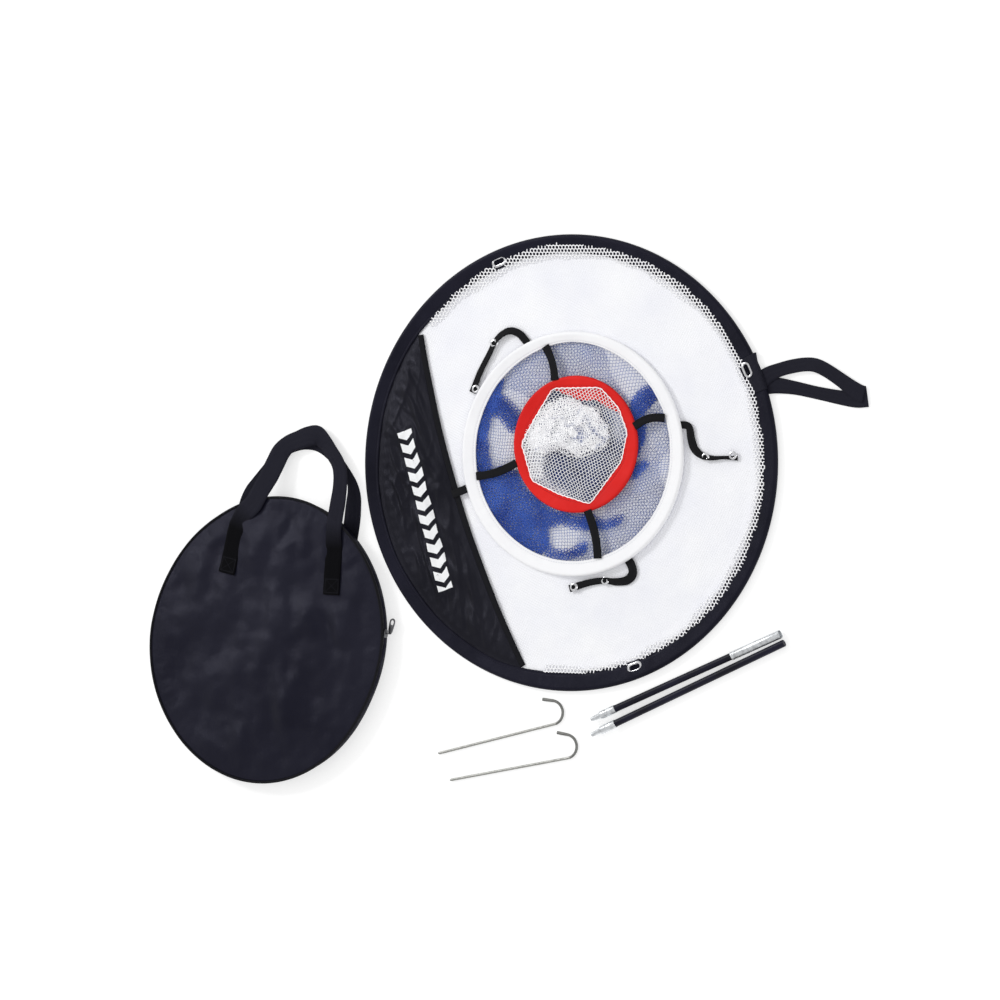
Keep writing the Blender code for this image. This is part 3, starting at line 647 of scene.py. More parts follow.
# ---------------------------------------------------------------- ring sleeves
def folded_sleeve(name, centre, outer_r, low, wire_r, inner_at, mat, body, replaces, steps, wall=0.8,
                  pucker=0.5, seed=1.0, cuts=()):
    """A strip of cloth folded over a ring wire, its two flaps pointing inwards, with small puckers.

    inner_at gives the radius of the flaps' edge at each angle in degrees.
    """
    bulge = wire_r + 1.1
    mid = low + bulge + wall / 2
    wire_at = outer_r - bulge - wall / 2
    flap = mid + 0.35
    under = low + wall / 2
    deg = np.arange(steps) * 360.0 / steps
    inner = np.asarray(inner_at(deg), float)
    t = np.radians(deg)
    cos, sin = np.cos(t), np.sin(t)
    away = np.hypot(inner - wire_at, flap - mid)
    touch = np.arctan2(flap - mid, inner - wire_at) - np.arccos(np.clip(bulge / away, -1, 1))
    path_r, path_z, share = [], [], []
    top_r, top_z = wire_at + bulge * np.cos(touch), mid + bulge * np.sin(touch)
    flaps = np.linspace(0, 1, 10)[:-1]
    for k in flaps:
        path_r.append(inner + (top_r - inner) * k)
        path_z.append(flap + (top_z - flap) * k)
        share.append(1 - 0.75 * k)
    for k in np.linspace(0, 1, 15):
        turn = touch + (-np.pi / 2 - touch) * k
        path_r.append(wire_at + bulge * np.cos(turn))
        path_z.append(mid + bulge * np.sin(turn))
        share.append(0.22 * (1 - k) if k < 0.5 else 0.0)
    for k in flaps[::3][::-1]:
        path_r.append(inner + (wire_at - inner) * k)
        path_z.append(np.full(steps, under))
        share.append(0.0)
    r, z = np.array(path_r), np.array(path_z)
    lift = np.array(share)[:, None] * pucker * (
        0.55 * lumps(cos * outer_r, sin * outer_r, 7.0, seed)[None]
        + 0.9 * lumps(cos[None] * r * 0.98, sin[None] * r * 0.98, 16.0, seed + 4))
    z = z + np.maximum(lift, -0.35)
    along_r, along_z = np.gradient(r, axis=0), np.gradient(z, axis=0)
    size = np.hypot(along_r, along_z)
    nr, nz = -along_z / size, along_r / size
    outer = (r + nr * wall / 2, z + nz * wall / 2)
    inside = (r - nr * wall / 2, z - nz * wall / 2)
    loop_r = np.concatenate([outer[0], inside[0][::-1]])
    loop_z = np.concatenate([outer[1], inside[1][::-1]])
    verts = np.stack([centre[0] + loop_r * cos, centre[1] + loop_r * sin, loop_z], -1)
    verts = verts.transpose(1, 0, 2).reshape(-1, 3)
    run = np.concatenate([[0], np.cumsum(np.hypot(*np.diff(np.stack([r.mean(1), z.mean(1)]), axis=1)))])
    run = np.concatenate([run, run[::-1]])
    uv = np.array([[a * outer_r * MM, v * MM] for a in t for v in run])
    faces = grid_faces(steps, len(loop_r), wrap_rows=True, wrap_cols=True)
    obj = piece(name, verts, faces, mat=mat, body=None, uv=uv)
    # Holes are cut from above the lower flap, which stays whole under them: its black cloth is a dark sheet
    # standing for the shade inside each hole.
    for outline in cuts:
        cut_through(obj, outline, low + 2.2, low + 14)
    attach(obj, body)
    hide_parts(*replaces)
    return obj, run[len(run) // 2]


def cut_through(obj, outline, low, high):
    """Cuts an upright hole of a given outline, in millimetres, through a piece."""
    n = len(outline)
    verts = [(x * MM, y * MM, z * MM) for z in (low, high) for x, y in outline]
    faces = [[k, (k + 1) % n, (k + 1) % n + n, k + n] for k in range(n)]
    mesh = bpy.data.meshes.new("cutter")
    mesh.from_pydata(verts, [], faces + [list(range(n))[::-1], list(range(n, 2 * n))])
    cutter = bpy.data.objects.new("cutter", mesh)
    bpy.context.scene.collection.objects.link(cutter)
    cut = obj.modifiers.new("cut", "BOOLEAN")
    cut.operation, cut.solver, cut.object = "DIFFERENCE", "EXACT", cutter
    apply_modifiers(obj)
    bpy.data.objects.remove(cutter)


def apply_modifiers(obj):
    bpy.context.view_layer.update()
    graph = bpy.context.evaluated_depsgraph_get()
    done = bpy.data.meshes.new_from_object(obj.evaluated_get(graph), depsgraph=graph)
    obj.modifiers.clear()
    obj.data = done
    obj.data.shade_smooth()


def by_angle(table, deg):
    """Smooth values round a ring from {degrees: value}."""
    keys = sorted(table)
    at = np.array([k - 360 for k in keys] + keys + [k + 360 for k in keys], float)
    val = np.array([table[k] for k in keys] * 3, float)
    d = np.asarray(deg, float) % 360
    rough = np.interp(d, at, val)
    soft = sum(np.interp(d + s, at, val) for s in (-8, -4, 4, 8)) / 4
    return 0.4 * rough + 0.6 * soft


def ring_points(centre, radius, deg):
    t = np.radians(deg)
    return np.column_stack([centre[0] + radius * np.cos(t), centre[1] + radius * np.sin(t)])


def polar(x, y, centre):
    """Radius and angle, 0 to 360 degrees, of points about a centre."""
    dx, dy = x - centre[0], y - centre[1]
    return np.hypot(dx, dy), np.degrees(np.arctan2(dy, dx)) % 360


def sway(amount, size, seed_x, seed_y):
    """A warp for net_strands that pushes its threads about smoothly."""
    return lambda x, y: (amount * lumps(x, y, size, seed_x), amount * lumps(x, y, size, seed_y))


# eyelets: slots with their long axis along the hoop
EYELET_R = 236.8
EYELET_DEG = {"top": 95.8, "right": 1.0, "left": 181.6}
SLOT_HALF_L = 3.8
SLOT_END_R = 2.5


def slot_outline(deg, grow, arc_steps=16):
    reach = SLOT_END_R + grow
    cx, cy = ring_points((HX, HY), EYELET_R, [deg])[0]
    t = np.radians(deg + 90)
    out = []
    for side in (1, -1):
        for k in range(arc_steps + 1):
            turn = np.pi * k / arc_steps - np.pi / 2
            x, y = side * (SLOT_HALF_L + reach * np.cos(turn)), side * reach * np.sin(turn)
            out.append((cx + x * np.cos(t) - y * np.sin(t), cy + x * np.sin(t) + y * np.cos(t)))
    return out


def make_grommet(side, deg, top=6.9):
    """A pressed oval ring: rolled barrel, domed flange, thin rolled lip."""
    profile = [(0.15, 0.75), (0.75, 0.75), (0.75, 4.4), (2.9, 5.0), (3.25, 5.35), (3.2, 5.8), (2.9, 6.2),
               (2.3, top - 0.25), (1.6, top), (0.9, top - 0.02), (0.35, top - 0.3), (0.05, top - 0.85),
               (0.0, 4.0)]
    loops = np.array([slot_outline(deg, offset) for offset, _ in profile])
    z = np.array([h for _, h in profile])
    verts = np.concatenate([loops, np.broadcast_to(z[:, None, None], (*loops.shape[:2], 1))], -1)
    faces = grid_faces(len(profile), loops.shape[1], wrap_rows=True, wrap_cols=True)
    obj = piece("grommet_" + side, verts.reshape(-1, 3), faces, mat=M["nickel"], body="hoop",
                replaces=["eyelet_" + side])
    obj.data.set_sharp_from_angle(angle=np.radians(50))
    return obj


# ---------------------------------------------------------------- the big net
def base_top(x, y):
    """Height of the outer net's upper face."""
    r = np.hypot(x - HX, y - HY)
    soft = 2.25 + 0.5 * lumps(x, y, 70.0, 3.0) + 0.3 * lumps(x, y, 22.0, 5.0) + 0.12 * lumps(x, y, 7.0, 8.0)
    rise = np.clip((r - 216) / 12, 0, 1)
    return np.clip(soft, 1.1, 3.15) * (1 - rise) + 3.75 * rise


OUTER_NET_R = 233.0
# How far out the net's hemmed edge reaches over the sleeve: {degrees: radius}.
NET_EDGE = {0: 231, 15: 232.5, 40: 235.5, 70: 234.5, 90: 233.5, 120: 236.5, 140: 237, 156: 239, 170: 239,
            186: 235, 200: 231, 208: 230, 335: 230, 350: 230.5}


def make_outer_net():
    rings, sectors = 56, 280
    r = np.sqrt(np.linspace(0.0004, 1, rings))[:, None] * OUTER_NET_R
    t = np.arange(sectors) * 2 * np.pi / sectors
    x, y = HX + r * np.cos(t), HY + r * np.sin(t)
    top = base_top(x, y)
    rim = np.clip((r - 216) / 12, 0, 1)
    under = np.maximum(top - 0.9, 0.12) * (1 - rim) + 2.75 * rim
    net = disc_shell("outer_net_cloth", x, y, top, under, M["white_net"], "hoop", ["outer_net"])

    def inside(px, py):
        rr, deg = polar(px, py, (HX, HY))
        ragged = by_angle(NET_EDGE, deg) + 1.3 * lumps(px, py, 12.0, 2.0)
        in_span = (deg < 209) | (deg > 334)
        keep_off = np.ones(px.shape, bool)
        for d in EYELET_DEG.values():
            ex, ey = ring_points((HX, HY), EYELET_R, [d])[0]
            keep_off &= np.hypot(px - ex, py - ey) > 9.0
        return (rr > 223.5 + 4 * lumps(px, py, 26.0, 6.0)) & (rr < ragged) & in_span & keep_off

    def height(px, py):
        rr = np.hypot(px - HX, py - HY)
        up = np.clip((rr - 220) / 9, 0, 1)
        over = 5.75 + np.clip(rr - 229, 0, 12) * 0.16 + 0.3 * lumps(px, py, 9.0, 3.3)
        return (base_top(px, py) + 0.35) * (1 - up) + over * up

    band = net_strands("outer_net_edge", inside, height, 4.3, 12.0, 1.35, M["white_strand"], "hoop", 240,
                       (HX, HY), row=0.8, stem=0.45)


# ---------------------------------------------------------------- front panel
CHORD_END_Y = mm_box("panel_binding")[1][1] - 6.3
CHORD_SAG = 14.0
CHORD_END_R = 224.5            # the chord's ends lie on this radius
CHORD_REACH = 198.3            # half length of the chord, drawn on to the panel's hidden edge
PANEL_R = 235.5


def chord_at(x):
    half = np.sqrt(CHORD_END_R ** 2 - CHORD_END_Y ** 2)
    return CHORD_END_Y - CHORD_SAG * (1 - (x / half) ** 2)


def make_panel():
    cols, rows = 200, 72
    s = np.sin(np.linspace(-1, 1, cols) * 1.52) / np.sin(1.52) * 0.994
    cx = s * CHORD_REACH
    cy = chord_at(cx)
    a_end = np.arctan2(chord_at(CHORD_REACH), CHORD_REACH)
    a_start = -np.pi - a_end
    ang = a_start + (a_end - a_start) * (np.arcsin(np.clip(s, -1, 1)) / np.arcsin(0.994) * 0.5 + 0.5)
    ax, ay = PANEL_R * np.cos(ang), PANEL_R * np.sin(ang)
    t = np.linspace(0, 1, rows)[:, None]
    x, y = cx + (ax - cx) * t, cy + (ay - cy) * t
    r = np.hypot(x, y)
    inner = np.clip((229 - r) / 16, 0, 1) * np.clip((chord_at(x) - y) / 18, 0, 1)
    along, over = x, y + 0.0009 * x * x
    long_folds = 1.6 * lumps(along * 0.22, over * 1.1, 12.0, 11.0)
    long_folds = long_folds + 0.8 * lumps(along * 0.4, over * 1.4, 9.0, 31.0)
    cross = 1.0 * lumps((x + 0.7 * y) * 0.3, (y - 0.5 * x), 15.0, 15.0)
    ridge = np.maximum(0, 1.0 - np.abs(lumps(along * 0.35, over, 24.0, 21.0)) * 3.4) ** 1.4 * 1.3
    ridge += np.maximum(0, 1.0 - np.abs(lumps((x - 0.8 * y) * 0.4, y + 0.4 * x, 20.0, 27.0))
                        * 3.8) ** 1.4 * 0.9
    pull = 0.26 * np.sin(np.arctan2(y, x) * 118 + 2 * lumps(x, y, 60.0, 4.0)) * np.exp(-((r - 226) / 7) ** 2)
    tuck = np.clip((r - 226) / 5, 0, 1)
    top = 5.2 + inner * (1.2 + np.clip(long_folds + cross, -1.4, 3.5) + ridge) + pull * (1 - tuck)
    top = np.maximum(top, 4.75) * (1 - tuck) + 4.40 * tuck
    under = np.maximum(top - 0.8, 4.05) * (1 - tuck) + 3.80 * tuck
    panel = patch_shell("front_panel_cloth", x, y, top, under, M["panel"], "hoop", ["front_panel"])
    xs = np.linspace(-1, 1, 17) * (np.sqrt(230.5 ** 2 - (CHORD_END_Y + 3.3) ** 2))
    path = [(x, chord_at(x) + 3.2, 4.9 + 0.25 * np.sin(x / 17)) for x in xs]
    tape = ribbon("panel_edge_binding", path, 6.4, 1.9, M["binding"], "hoop", ["panel_binding"], steps=200)


# ---------------------------------------------------------------- tab and carry handle
def make_carry_handle():
    lower = [(-1.5, 248.6, 2.2, 0, 0.95), (1.5, 258, 2.2, 0, 0.90), (6, 268, 2.1, 2, 0.82),
             (14, 283, 2.1, 4, 0.72), (27, 304.5, 2.2, 8, 0.70), (41.5, 330, 2.1, 3, 0.80),
             (46.5, 343.5, 2.0, 0, 1.02), (49, 356.0, 1.9, 0, 1.14)]
    upper = [(-9.5, 248.6, 3.6, 0, 0.95), (-11.5, 258, 3.6, 0, 0.85), (-11.8, 270, 3.6, -3, 0.76),
             (-10.5, 284, 3.6, -5, 0.76), (-7.5, 299, 3.9, -10, 0.76), (-2.5, 311, 4.4, -12, 0.76),
             (7, 321.5, 4.5, -8, 0.74), (22, 333.5, 4.1, -4, 0.76), (33, 341.4, 3.6, 0, 0.84),
             (40.2, 347.0, 3.5, 0, 0.9), (44.0, 350.8, 3.4, 0, 0.92), (45.9, 353.6, 3.4, 0, 0.92)]
    a = ribbon("carry_handle_webbing", lower, 20.0, 1.5, M["webbing"], None, ["handle_tab", "carry_handle"],
               steps=120)
    b = ribbon("carry_handle_webbing_over", upper, 20.0, 1.5, M["webbing"], None, steps=130)
    for arm in (a, b):
        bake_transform(arm)


def make_handle_tab():
    """The handle's webbing goes on over the sleeve as a tab, with the top eyelet punched through it."""
    columns, turns = 40, 26
    degs = np.linspace(89.3, 98.8, columns)
    wire_at, mid, bulge = HOOP_R - 3.5, HOOP_LOW + 3.5, 3.5
    path = [(230.2, mid + 0.95), (234.0, mid + 1.75), (238.5, mid + 2.65), (242.5, mid + 3.42)]
    path += [(wire_at + (bulge + 0.75) * np.cos(t), mid + (bulge + 0.75) * np.sin(t))
             for t in np.linspace(1.75, -0.7, 12)]
    section, _ = smooth_curve([(r, z, 0) for r, z in path], turns)
    section = section[:, :2]
    along = np.gradient(section, axis=0)
    along /= np.linalg.norm(along, axis=1)[:, None]
    inner = section + np.stack([along[:, 1], -along[:, 0]], 1) * 0.7
    loop = np.vstack([section, inner[::-1]])
    t = np.radians(degs)
    flare = np.clip((degs - 96.8) / 2, 0, 1)[:, None] * np.clip((loop[:, 0] - 243) / 6, 0, 1)[None] * 2.6
    r = loop[None, :, 0] + flare
    verts = np.stack([HX + r * np.cos(t)[:, None], HY + r * np.sin(t)[:, None],
                      np.broadcast_to(loop[:, 1], r.shape)], -1).reshape(-1, 3)
    n = len(loop)
    run = np.concatenate([np.arange(turns), np.arange(turns)[::-1]]) * 1.0
    uv = np.array([[a * 0.24, v * MM] for a in t for v in run])
    ends = [list(range(n)), list(range((columns - 1) * n, columns * n))[::-1]]
    tab = piece("handle_tab_webbing", verts, grid_faces(columns, n, wrap_cols=True), mat=M["webbing"],
                body=None, uv=uv, ngons=ends)
    cut_through(tab, slot_outline(EYELET_DEG["top"], 1.0), mid, mid + 8)
    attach(tab, "hoop")


def sleeve_edge(deg):
    """Radius of the hoop sleeve's inner edge; it is narrower where the front panel is sewn on."""
    return by_angle({0: 229.5, 90: 229.5, 150: 229.5, 205: 229.5, 216: 233.0, 270: 234.0, 324: 233.0,
                     335: 229.5}, deg)


def make_hoop():
    def inner_at(deg):
        fine = 0.4 * np.sin(np.radians(deg) * 7) + 0.3 * np.sin(np.radians(deg) * 17 + 1)
        return sleeve_edge(deg) + fine

    # The lower layer stays whole under the slots: its dark cloth there is painted shade inside the eyelets.
    cuts = [slot_outline(d, 1.0) for d in EYELET_DEG.values()]   # through the upper layer only
    sleeve, width = folded_sleeve("hoop_sleeve_cloth", (HX, HY), HOOP_R, HOOP_LOW, 2.0, inner_at, M["hoop"],
                                  "hoop", ["hoop_sleeve"], 640, pucker=0.55, cuts=cuts)
    for side, deg in EYELET_DEG.items():
        make_grommet(side, deg, 8.5 if side == "top" else 6.9)


# ---------------------------------------------------------------- middle ring and blue net
def blob(points, soft=6.0, seed=1.0):
    """A test for points inside a soft-edged outline."""
    outline, _ = smooth_curve([(*p, 0) for p in points], 90, closed=True)
    px, py = outline[:, 0], outline[:, 1]

    def test(x, y):
        wx, wy = x + soft * lumps(x, y, 18.0, seed), y + soft * lumps(x, y, 18.0, seed + 9)
        inside = np.zeros(x.shape, bool)
        for k in range(len(px)):
            x0, y0, x1, y1 = px[k], py[k], px[k - 1], py[k - 1]
            crosses = (y0 > wy) != (y1 > wy)
            with np.errstate(divide="ignore", invalid="ignore"):
                at = (x1 - x0) * (wy - y0) / (y1 - y0 + 1e-12) + x0
            inside ^= crosses & (wx < at)
        return inside
    return test


# Outlines of the parts of the blue net that lie folded double, in millimetres. Those named under_ lie beneath
# the inner ring, and their darker blue is painted shade.
BLUE_FOLDS = {
    "crescent": ((-138, -3), (-136, -23), (-116, -53), (-94, -77), (-68, -98), (-45, -108), (-23, -110),
                 (-20, -92), (-48, -90), (-70, -77), (-87, -65), (-88, -57), (-113, -47), (-127, -21)),
    "diagonal": ((-93, -71), (-87, -49), (-67, -41), (-53, -49), (-57, -60), (-73, -63), (-76, -72)),
    "lower": ((-18, -112), (-14, -70), (5, -60), (35, -42), (56, -20), (68, 4), (79, 0), (68, -24),
              (63, -50), (78, -51), (84, -70), (66, -92), (33, -110), (6, -116)),
    "arc": ((75, -60), (87, -47), (94, -28), (92, -11), (100, -11), (101, -31), (91, -53)),
    "corner": ((-32, 90), (-44, 120), (-31, 126), (-20, 109), (-18, 97), (-3, 96), (17, 88), (20, 79)),
    "band": ((32, 71), (38, 91), (43, 72), (41, 64)),
    "thin": ((64, -3), (76, 16), (80, 38), (84, 35), (82, 14), (74, -7)),
    "under_low": ((-19, -7), (1, 63), (22, 58), (42, 28), (48, 4), (28, -14), (4, -29), (-11, -27)),
    "under_high": ((-66, -11), (-82, 9), (-81, 32), (-68, 40), (-70, 13)),
    "under_mid": ((-60, -20), (-66, 20), (-50, 50), (-15, 60), (-10, 0), (-20, -30)),
}


def make_middle_ring():
    narrow = {161: 11.0, 130: 14.0, 190: 14.0, 71: 16.5, 20: 16.5, 330: 17.0, 270: 17.0, 230: 16.0, 210: 15.0}

    def inner_at(deg):
        return MID_R - by_angle(narrow, deg)

    sleeve, width = folded_sleeve("middle_ring_cloth", (MX, MY), MID_R, MID_LOW, 1.6, inner_at,
                                  M["white_sleeve"], "middle_ring", ["middle_ring_sleeve"], 480, wall=0.7,
                                  pucker=0.5, seed=6.0)

    def low_net(x, y):
        r_in = np.hypot(x - IX, y - IY)
        r_mid = np.hypot(x - MX, y - MY)
        free = np.clip((r_in - 76) / 10, 0, 1) * np.clip((112 - r_mid) / 8, 0, 1)
        return 5.1 + 0.25 * lumps(x, y, 12.0, 4.0) + free * (0.8 + 0.9 * lumps(x, y, 24.0, 7.0))

    def within(extra):
        def test(x, y):
            r, deg = polar(x, y, (MX, MY))
            return r < inner_at(deg) + extra
        return test

    whole, under_sleeve = within(3.5), within(2.0)
    def blue(name, test, height, turn, strand, colour, warp, **more):
        return net_strands(name, test, height, 4.3, turn, strand, M[colour], "middle_ring", 134, (MX, MY),
                           warp, **more)

    first = blue("blue_net_strands", whole, low_net, 24.0, 0.41, "blue_strand", sway(3.2, 34.0, 1.0, 2.0))
    second = blue("blue_net_second", lambda x, y: under_sleeve(x, y) & (lumps(x, y, 52.0, 12.0) > 0.12),
                  lambda x, y: low_net(x, y) - 0.6, 63.0, 0.33, "blue_strand", sway(3, 40.0, 5.0, 6.0),
                  shift=(1.3, 0.8))
    net = joined("blue_net_strands", [first, second])
    for k, (name, outline) in enumerate(BLUE_FOLDS.items()):
        shape = blob(outline, 3.0, 3.0 + k)
        # Parts under the inner ring get the darker copy of the blue cord: painted shade.
        colour = "painted_shade_blue" if name.startswith("under") else "blue_deep"
        highest = 0.0 if colour == "painted_shade_blue" else 0.7
        for n, (turn, offset) in enumerate(((47.0, 0.35), (73.0, -0.35), (8.0, highest))):
            apart = 2.5 * n
            blue(
                f"blue_fold_{name}_{n}", lambda x, y: under_sleeve(x, y) & shape(x + apart, y - apart),
                lambda x, y: low_net(x, y) + offset, turn + 11 * k, 0.8 if n else 0.95, colour,
                sway(3.5, 22.0, 13.0 + n, 17.0 + n), squeeze=0.9, shift=(0.9 * n, 0.5))
    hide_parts("blue_net")


# ---------------------------------------------------------------- inner ring
# Corners of the red sleeve's inner edge, which the net pulls straight between them: (degrees, radius).
RED_EDGE = ((52, 58.5), (82, 64.0), (108, 65.5), (135, 69.0), (185, 67.5), (221, 57.5), (250, 66.0),
            (288, 66.5), (322, 58.5), (356, 68.0))

LOOSE_EDGE_DEG = (100.0, 186.0)        # where the sleeve's lower flap hangs out under the net
# Outline of the part of the inner net that is heaped up, in millimetres.
NET_HEAP = ((-53, -26), (-62, -6), (-70, 12), (-66, 30), (-54, 42), (-43, 53), (-23, 61), (-10, 61),
            (-2, 47), (-1, 32), (-1, 15), (-14, 4), (-18, -7), (-17, -24), (-23, -33), (-38, -38))
# Outline of the part where it lies double but flat.
NET_DOUBLE = ((-50, -44), (-68, 2), (-40, 0), (-14, -22), (4, -30), (0, -48), (-24, -54))


def edge_between(corners, deg):
    """Radius of a polygon's edge at each angle, its corners slightly rounded."""
    pts = np.array([(r * np.cos(np.radians(d)), r * np.sin(np.radians(d))) for d, r in corners])
    nxt = np.roll(pts, -1, 0)

    def exact(d):
        t = np.radians(d)[..., None]
        c, s = np.cos(t), np.sin(t)
        e = nxt - pts
        bottom = c * e[:, 1] - s * e[:, 0]
        with np.errstate(divide="ignore", invalid="ignore"):
            reach = (pts[:, 0] * e[:, 1] - pts[:, 1] * e[:, 0]) / bottom
            share = (pts[:, 0] * s - pts[:, 1] * c) / bottom
        good = (reach > 0) & (share >= -1e-6) & (share <= 1 + 1e-6)
        return np.min(np.where(good, reach, 1e6), axis=-1)
    d = np.asarray(deg, float)
    return sum(exact(d + k) for k in (-3.0, -1.5, 0.0, 1.5, 3.0)) / 5


def make_inner_ring():
    def inner_at(deg):
        return edge_between(RED_EDGE, deg)

    cols = 60
    deg = np.linspace(*LOOSE_EDGE_DEG, cols)
    share = np.linspace(0, 1, 12)[:, None]
    deep = 15.0 * np.sin(np.pi * np.linspace(0, 1, cols)) ** 0.8 + 0.6 * np.sin(deg)
    r = inner_at(deg) + 2.5 - (deep + 2.5) * share
    x, y = IX + r * np.cos(np.radians(deg)), IY + r * np.sin(np.radians(deg))
    loose = 7.7 + 0.25 * lumps(x, y, 9.0, 44.0)
    under = patch_shell("inner_ring_loose_edge", x, y, loose, loose - 0.5, M["red_sleeve"], "inner_ring")
    sleeve, width = folded_sleeve("inner_ring_cloth", (IX, IY), IN_R, IN_LOW, 1.3, inner_at, M["red_sleeve"],
                                  "inner_ring", ["inner_ring_sleeve"], 420, wall=0.7, pucker=0.7, seed=9.0)

    def inside(x, y):
        r, deg = polar(x, y, (IX, IY))
        return r < inner_at(deg) + 3.0

    def level(x, y):
        r, _ = polar(x, y, (IX, IY))
        return 8.3 + np.clip((r - 46) / 10, 0, 1) * 0.15 + 0.3 * lumps(x, y, 14.0, 2.0)

    def white(name, test, height, pitch, turn, strand, warp, **more):
        return net_strands(name, test, height, pitch, turn, strand, M["white_strand"], "inner_ring", 78,
                           (IX, IY), warp, **more)

    top_layer = white("inner_net_strands", inside, level, 4.3, 52.0, 0.74, sway(1.6, 20.0, 31.0, 32.0))
    double = blob(NET_DOUBLE, 3.0, 8.0)
    low_layer = white("inner_net_double", lambda x, y: inside(x, y) & double(x, y),
                      lambda x, y: level(x, y) + 0.8, 4.2, 20.0, 1.15, sway(2, 18.0, 35.0, 36.0))
    net = joined("inner_net_strands", [top_layer, low_layer])
    heap = blob(NET_HEAP, 4.5, 5.0)
    crumpled = net_heap()
    tangle = white("inner_net_heap_0", lambda x, y: heap(x, y) & inside(x, y),
                   lambda x, y: heap_height(x, y) + 0.5, 4.6, 17.0, 0.8, sway(4.0, 13.0, 60.0, 70.0),
                   squeeze=0.8)
    deg = np.linspace(0, 360, 180, endpoint=False)
    r = inner_at(deg) - 0.4 + 0.3 * np.sin(np.radians(deg) * 60)
    edge = np.column_stack([IX + r * np.cos(np.radians(deg)), IY + r * np.sin(np.radians(deg)),
                            9.9 + 0.3 * np.sin(np.radians(deg) * 23)])
    cord = tube("inner_net_edge_cord", edge, 0.6, M["white_strand"], "inner_ring", closed=True, sides=8,
                steps=540)
    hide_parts("inner_net")


def heap_height(x, y):
    cx, cy = np.mean(NET_HEAP, 0)
    far = np.hypot((x - cx) / 38, (y - cy) / 44)
    crest = 5.0 * np.clip(1 - far ** 2, 0, 1)
    fold = 2.4 * lumps(x, y, 12.0, 40.0) + 1.3 * lumps(x, y, 6.0, 50.0)
    crease = np.maximum(0, 1 - np.abs(lumps(x, y * 0.6, 15.0, 44.0)) * 4) * 3.0
    return 9.6 + crest + np.clip(1.2 - far, 0.1, 1) * (fold + crease)


def net_heap():
    """The bunched-up middle of the inner net: a crumpled layer, its holes too small to stay open."""
    sectors, rings = 240, 60
    outline, _ = smooth_curve([(*p, 0) for p in NET_HEAP], sectors, closed=True)
    cx, cy = np.mean(NET_HEAP, 0)
    dx, dy = outline[:, 0] - cx, outline[:, 1] - cy
    at = np.arctan2(dy, dx)
    order = np.argsort(at)
    t = np.arange(sectors) * 2 * np.pi / sectors - np.pi
    reach = np.interp(t, at[order], np.hypot(dx, dy)[order], period=2 * np.pi)
    reach = reach * (0.95 + 0.05 * lumps(np.cos(t) * 40, np.sin(t) * 40, 5.0, 3.0))
    k = np.linspace(0.01, 1, rings)[:, None]
    x, y = cx + reach * k * np.cos(t), cy + reach * k * np.sin(t)
    z = heap_height(x, y) * (1 - k ** 6) + 8.7 * k ** 6
    return disc_shell("inner_net_heap_cloth", x, y, z, z - 0.5, M["heap"], "inner_ring")


# ---------------------------------------------------------------- straps and ring snaps
# Middle lines of the loose straps: x, y, height, roll in degrees, share of the width.
LOOSE_STRAPS = {
    "left": ((-142.5, -4.5, 4.6, 0, 0.95), (-154, -10, 5.4, 8, 0.95), (-160.5, -21, 6.0, 18, 0.9),
             (-157, -37, 5.8, 24, 0.85), (-145, -51, 5.3, 18, 0.8), (-129, -69, 5.0, 12, 0.85),
             (-111.5, -85, 4.6, 6, 0.9)),
    "top": ((10.5, 149.5, 4.6, 0, 0.9), (24, 148.5, 5.4, -16, 0.95), (36, 149, 6.0, -26, 0.95),
            (46, 155, 5.8, -30, 0.85), (52, 165, 5.2, -22, 0.6), (56, 178, 5.0, -12, 0.42),
            (62, 193, 4.6, 0, 0.55)),
    "right": ((131.5, 36, 4.6, 0, 1.1), (140, 34.5, 5.0, -10, 1.1), (144.5, 26, 5.6, -24, 1.1),
              (142, 13, 5.8, -30, 1.0), (136.5, 1, 5.6, -24, 0.85), (133, -13, 5.2, -14, 0.8),
              (131.5, -28, 4.9, -8, 0.85), (131, -43, 4.6, 0, 0.9)),
}
# Where each strap's end is sewn in, inside the ring's sleeve.
LOOSE_STRAP_ROOTS = {"left": (-138.9, -4.1, 4.6, 0, 0.95), "top": (5.0, 139.5, 4.6, 0, 0.9),
                     "right": (123.2, 34.4, 4.6, 0, 1.1)}


def make_loose_straps():
    for side, spots in LOOSE_STRAPS.items():
        strap = ribbon("loose_strap_webbing_" + side, (LOOSE_STRAP_ROOTS[side], *spots), 9.0, 1.1,
                       M["strap"], None, steps=120, edge_wave=0.08)
        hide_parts("loose_strap_" + side)
        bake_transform(strap)
        for place in ("mid", "end"):
            ring_snap(side, place)


def ring_snap(side, place):
    node = f"ring_snap_{side}_{place}"
    low, high = mm_box(node)
    cx, cy = middle_of(node)
    outer = (high[0] - low[0]) / 2
    profile = np.array([(2.35, 0.1), (outer - 0.3, 0.0), (outer, 0.35), (outer, 0.8), (outer - 0.45, 1.15),
                        (outer - 0.9, 1.25), (outer - 1.2, 1.8), (3.0, 1.95), (2.5, 1.8), (2.3, 1.3)])
    sides = 40
    t = np.arange(sides) * 2 * np.pi / sides
    verts = np.stack([cx + profile[:, :1] * np.cos(t), cy + profile[:, :1] * np.sin(t),
                      low[2] + np.broadcast_to(profile[:, 1:], (len(profile), sides))], -1)
    snap = piece(f"snap_{side}_{place}", verts.reshape(-1, 3),
                 grid_faces(len(profile), sides, wrap_rows=True, wrap_cols=True), mat=M["nickel"],
                 body="strap_" + side, replaces=[node])
    snap.data.set_sharp_from_angle(angle=np.radians(40))


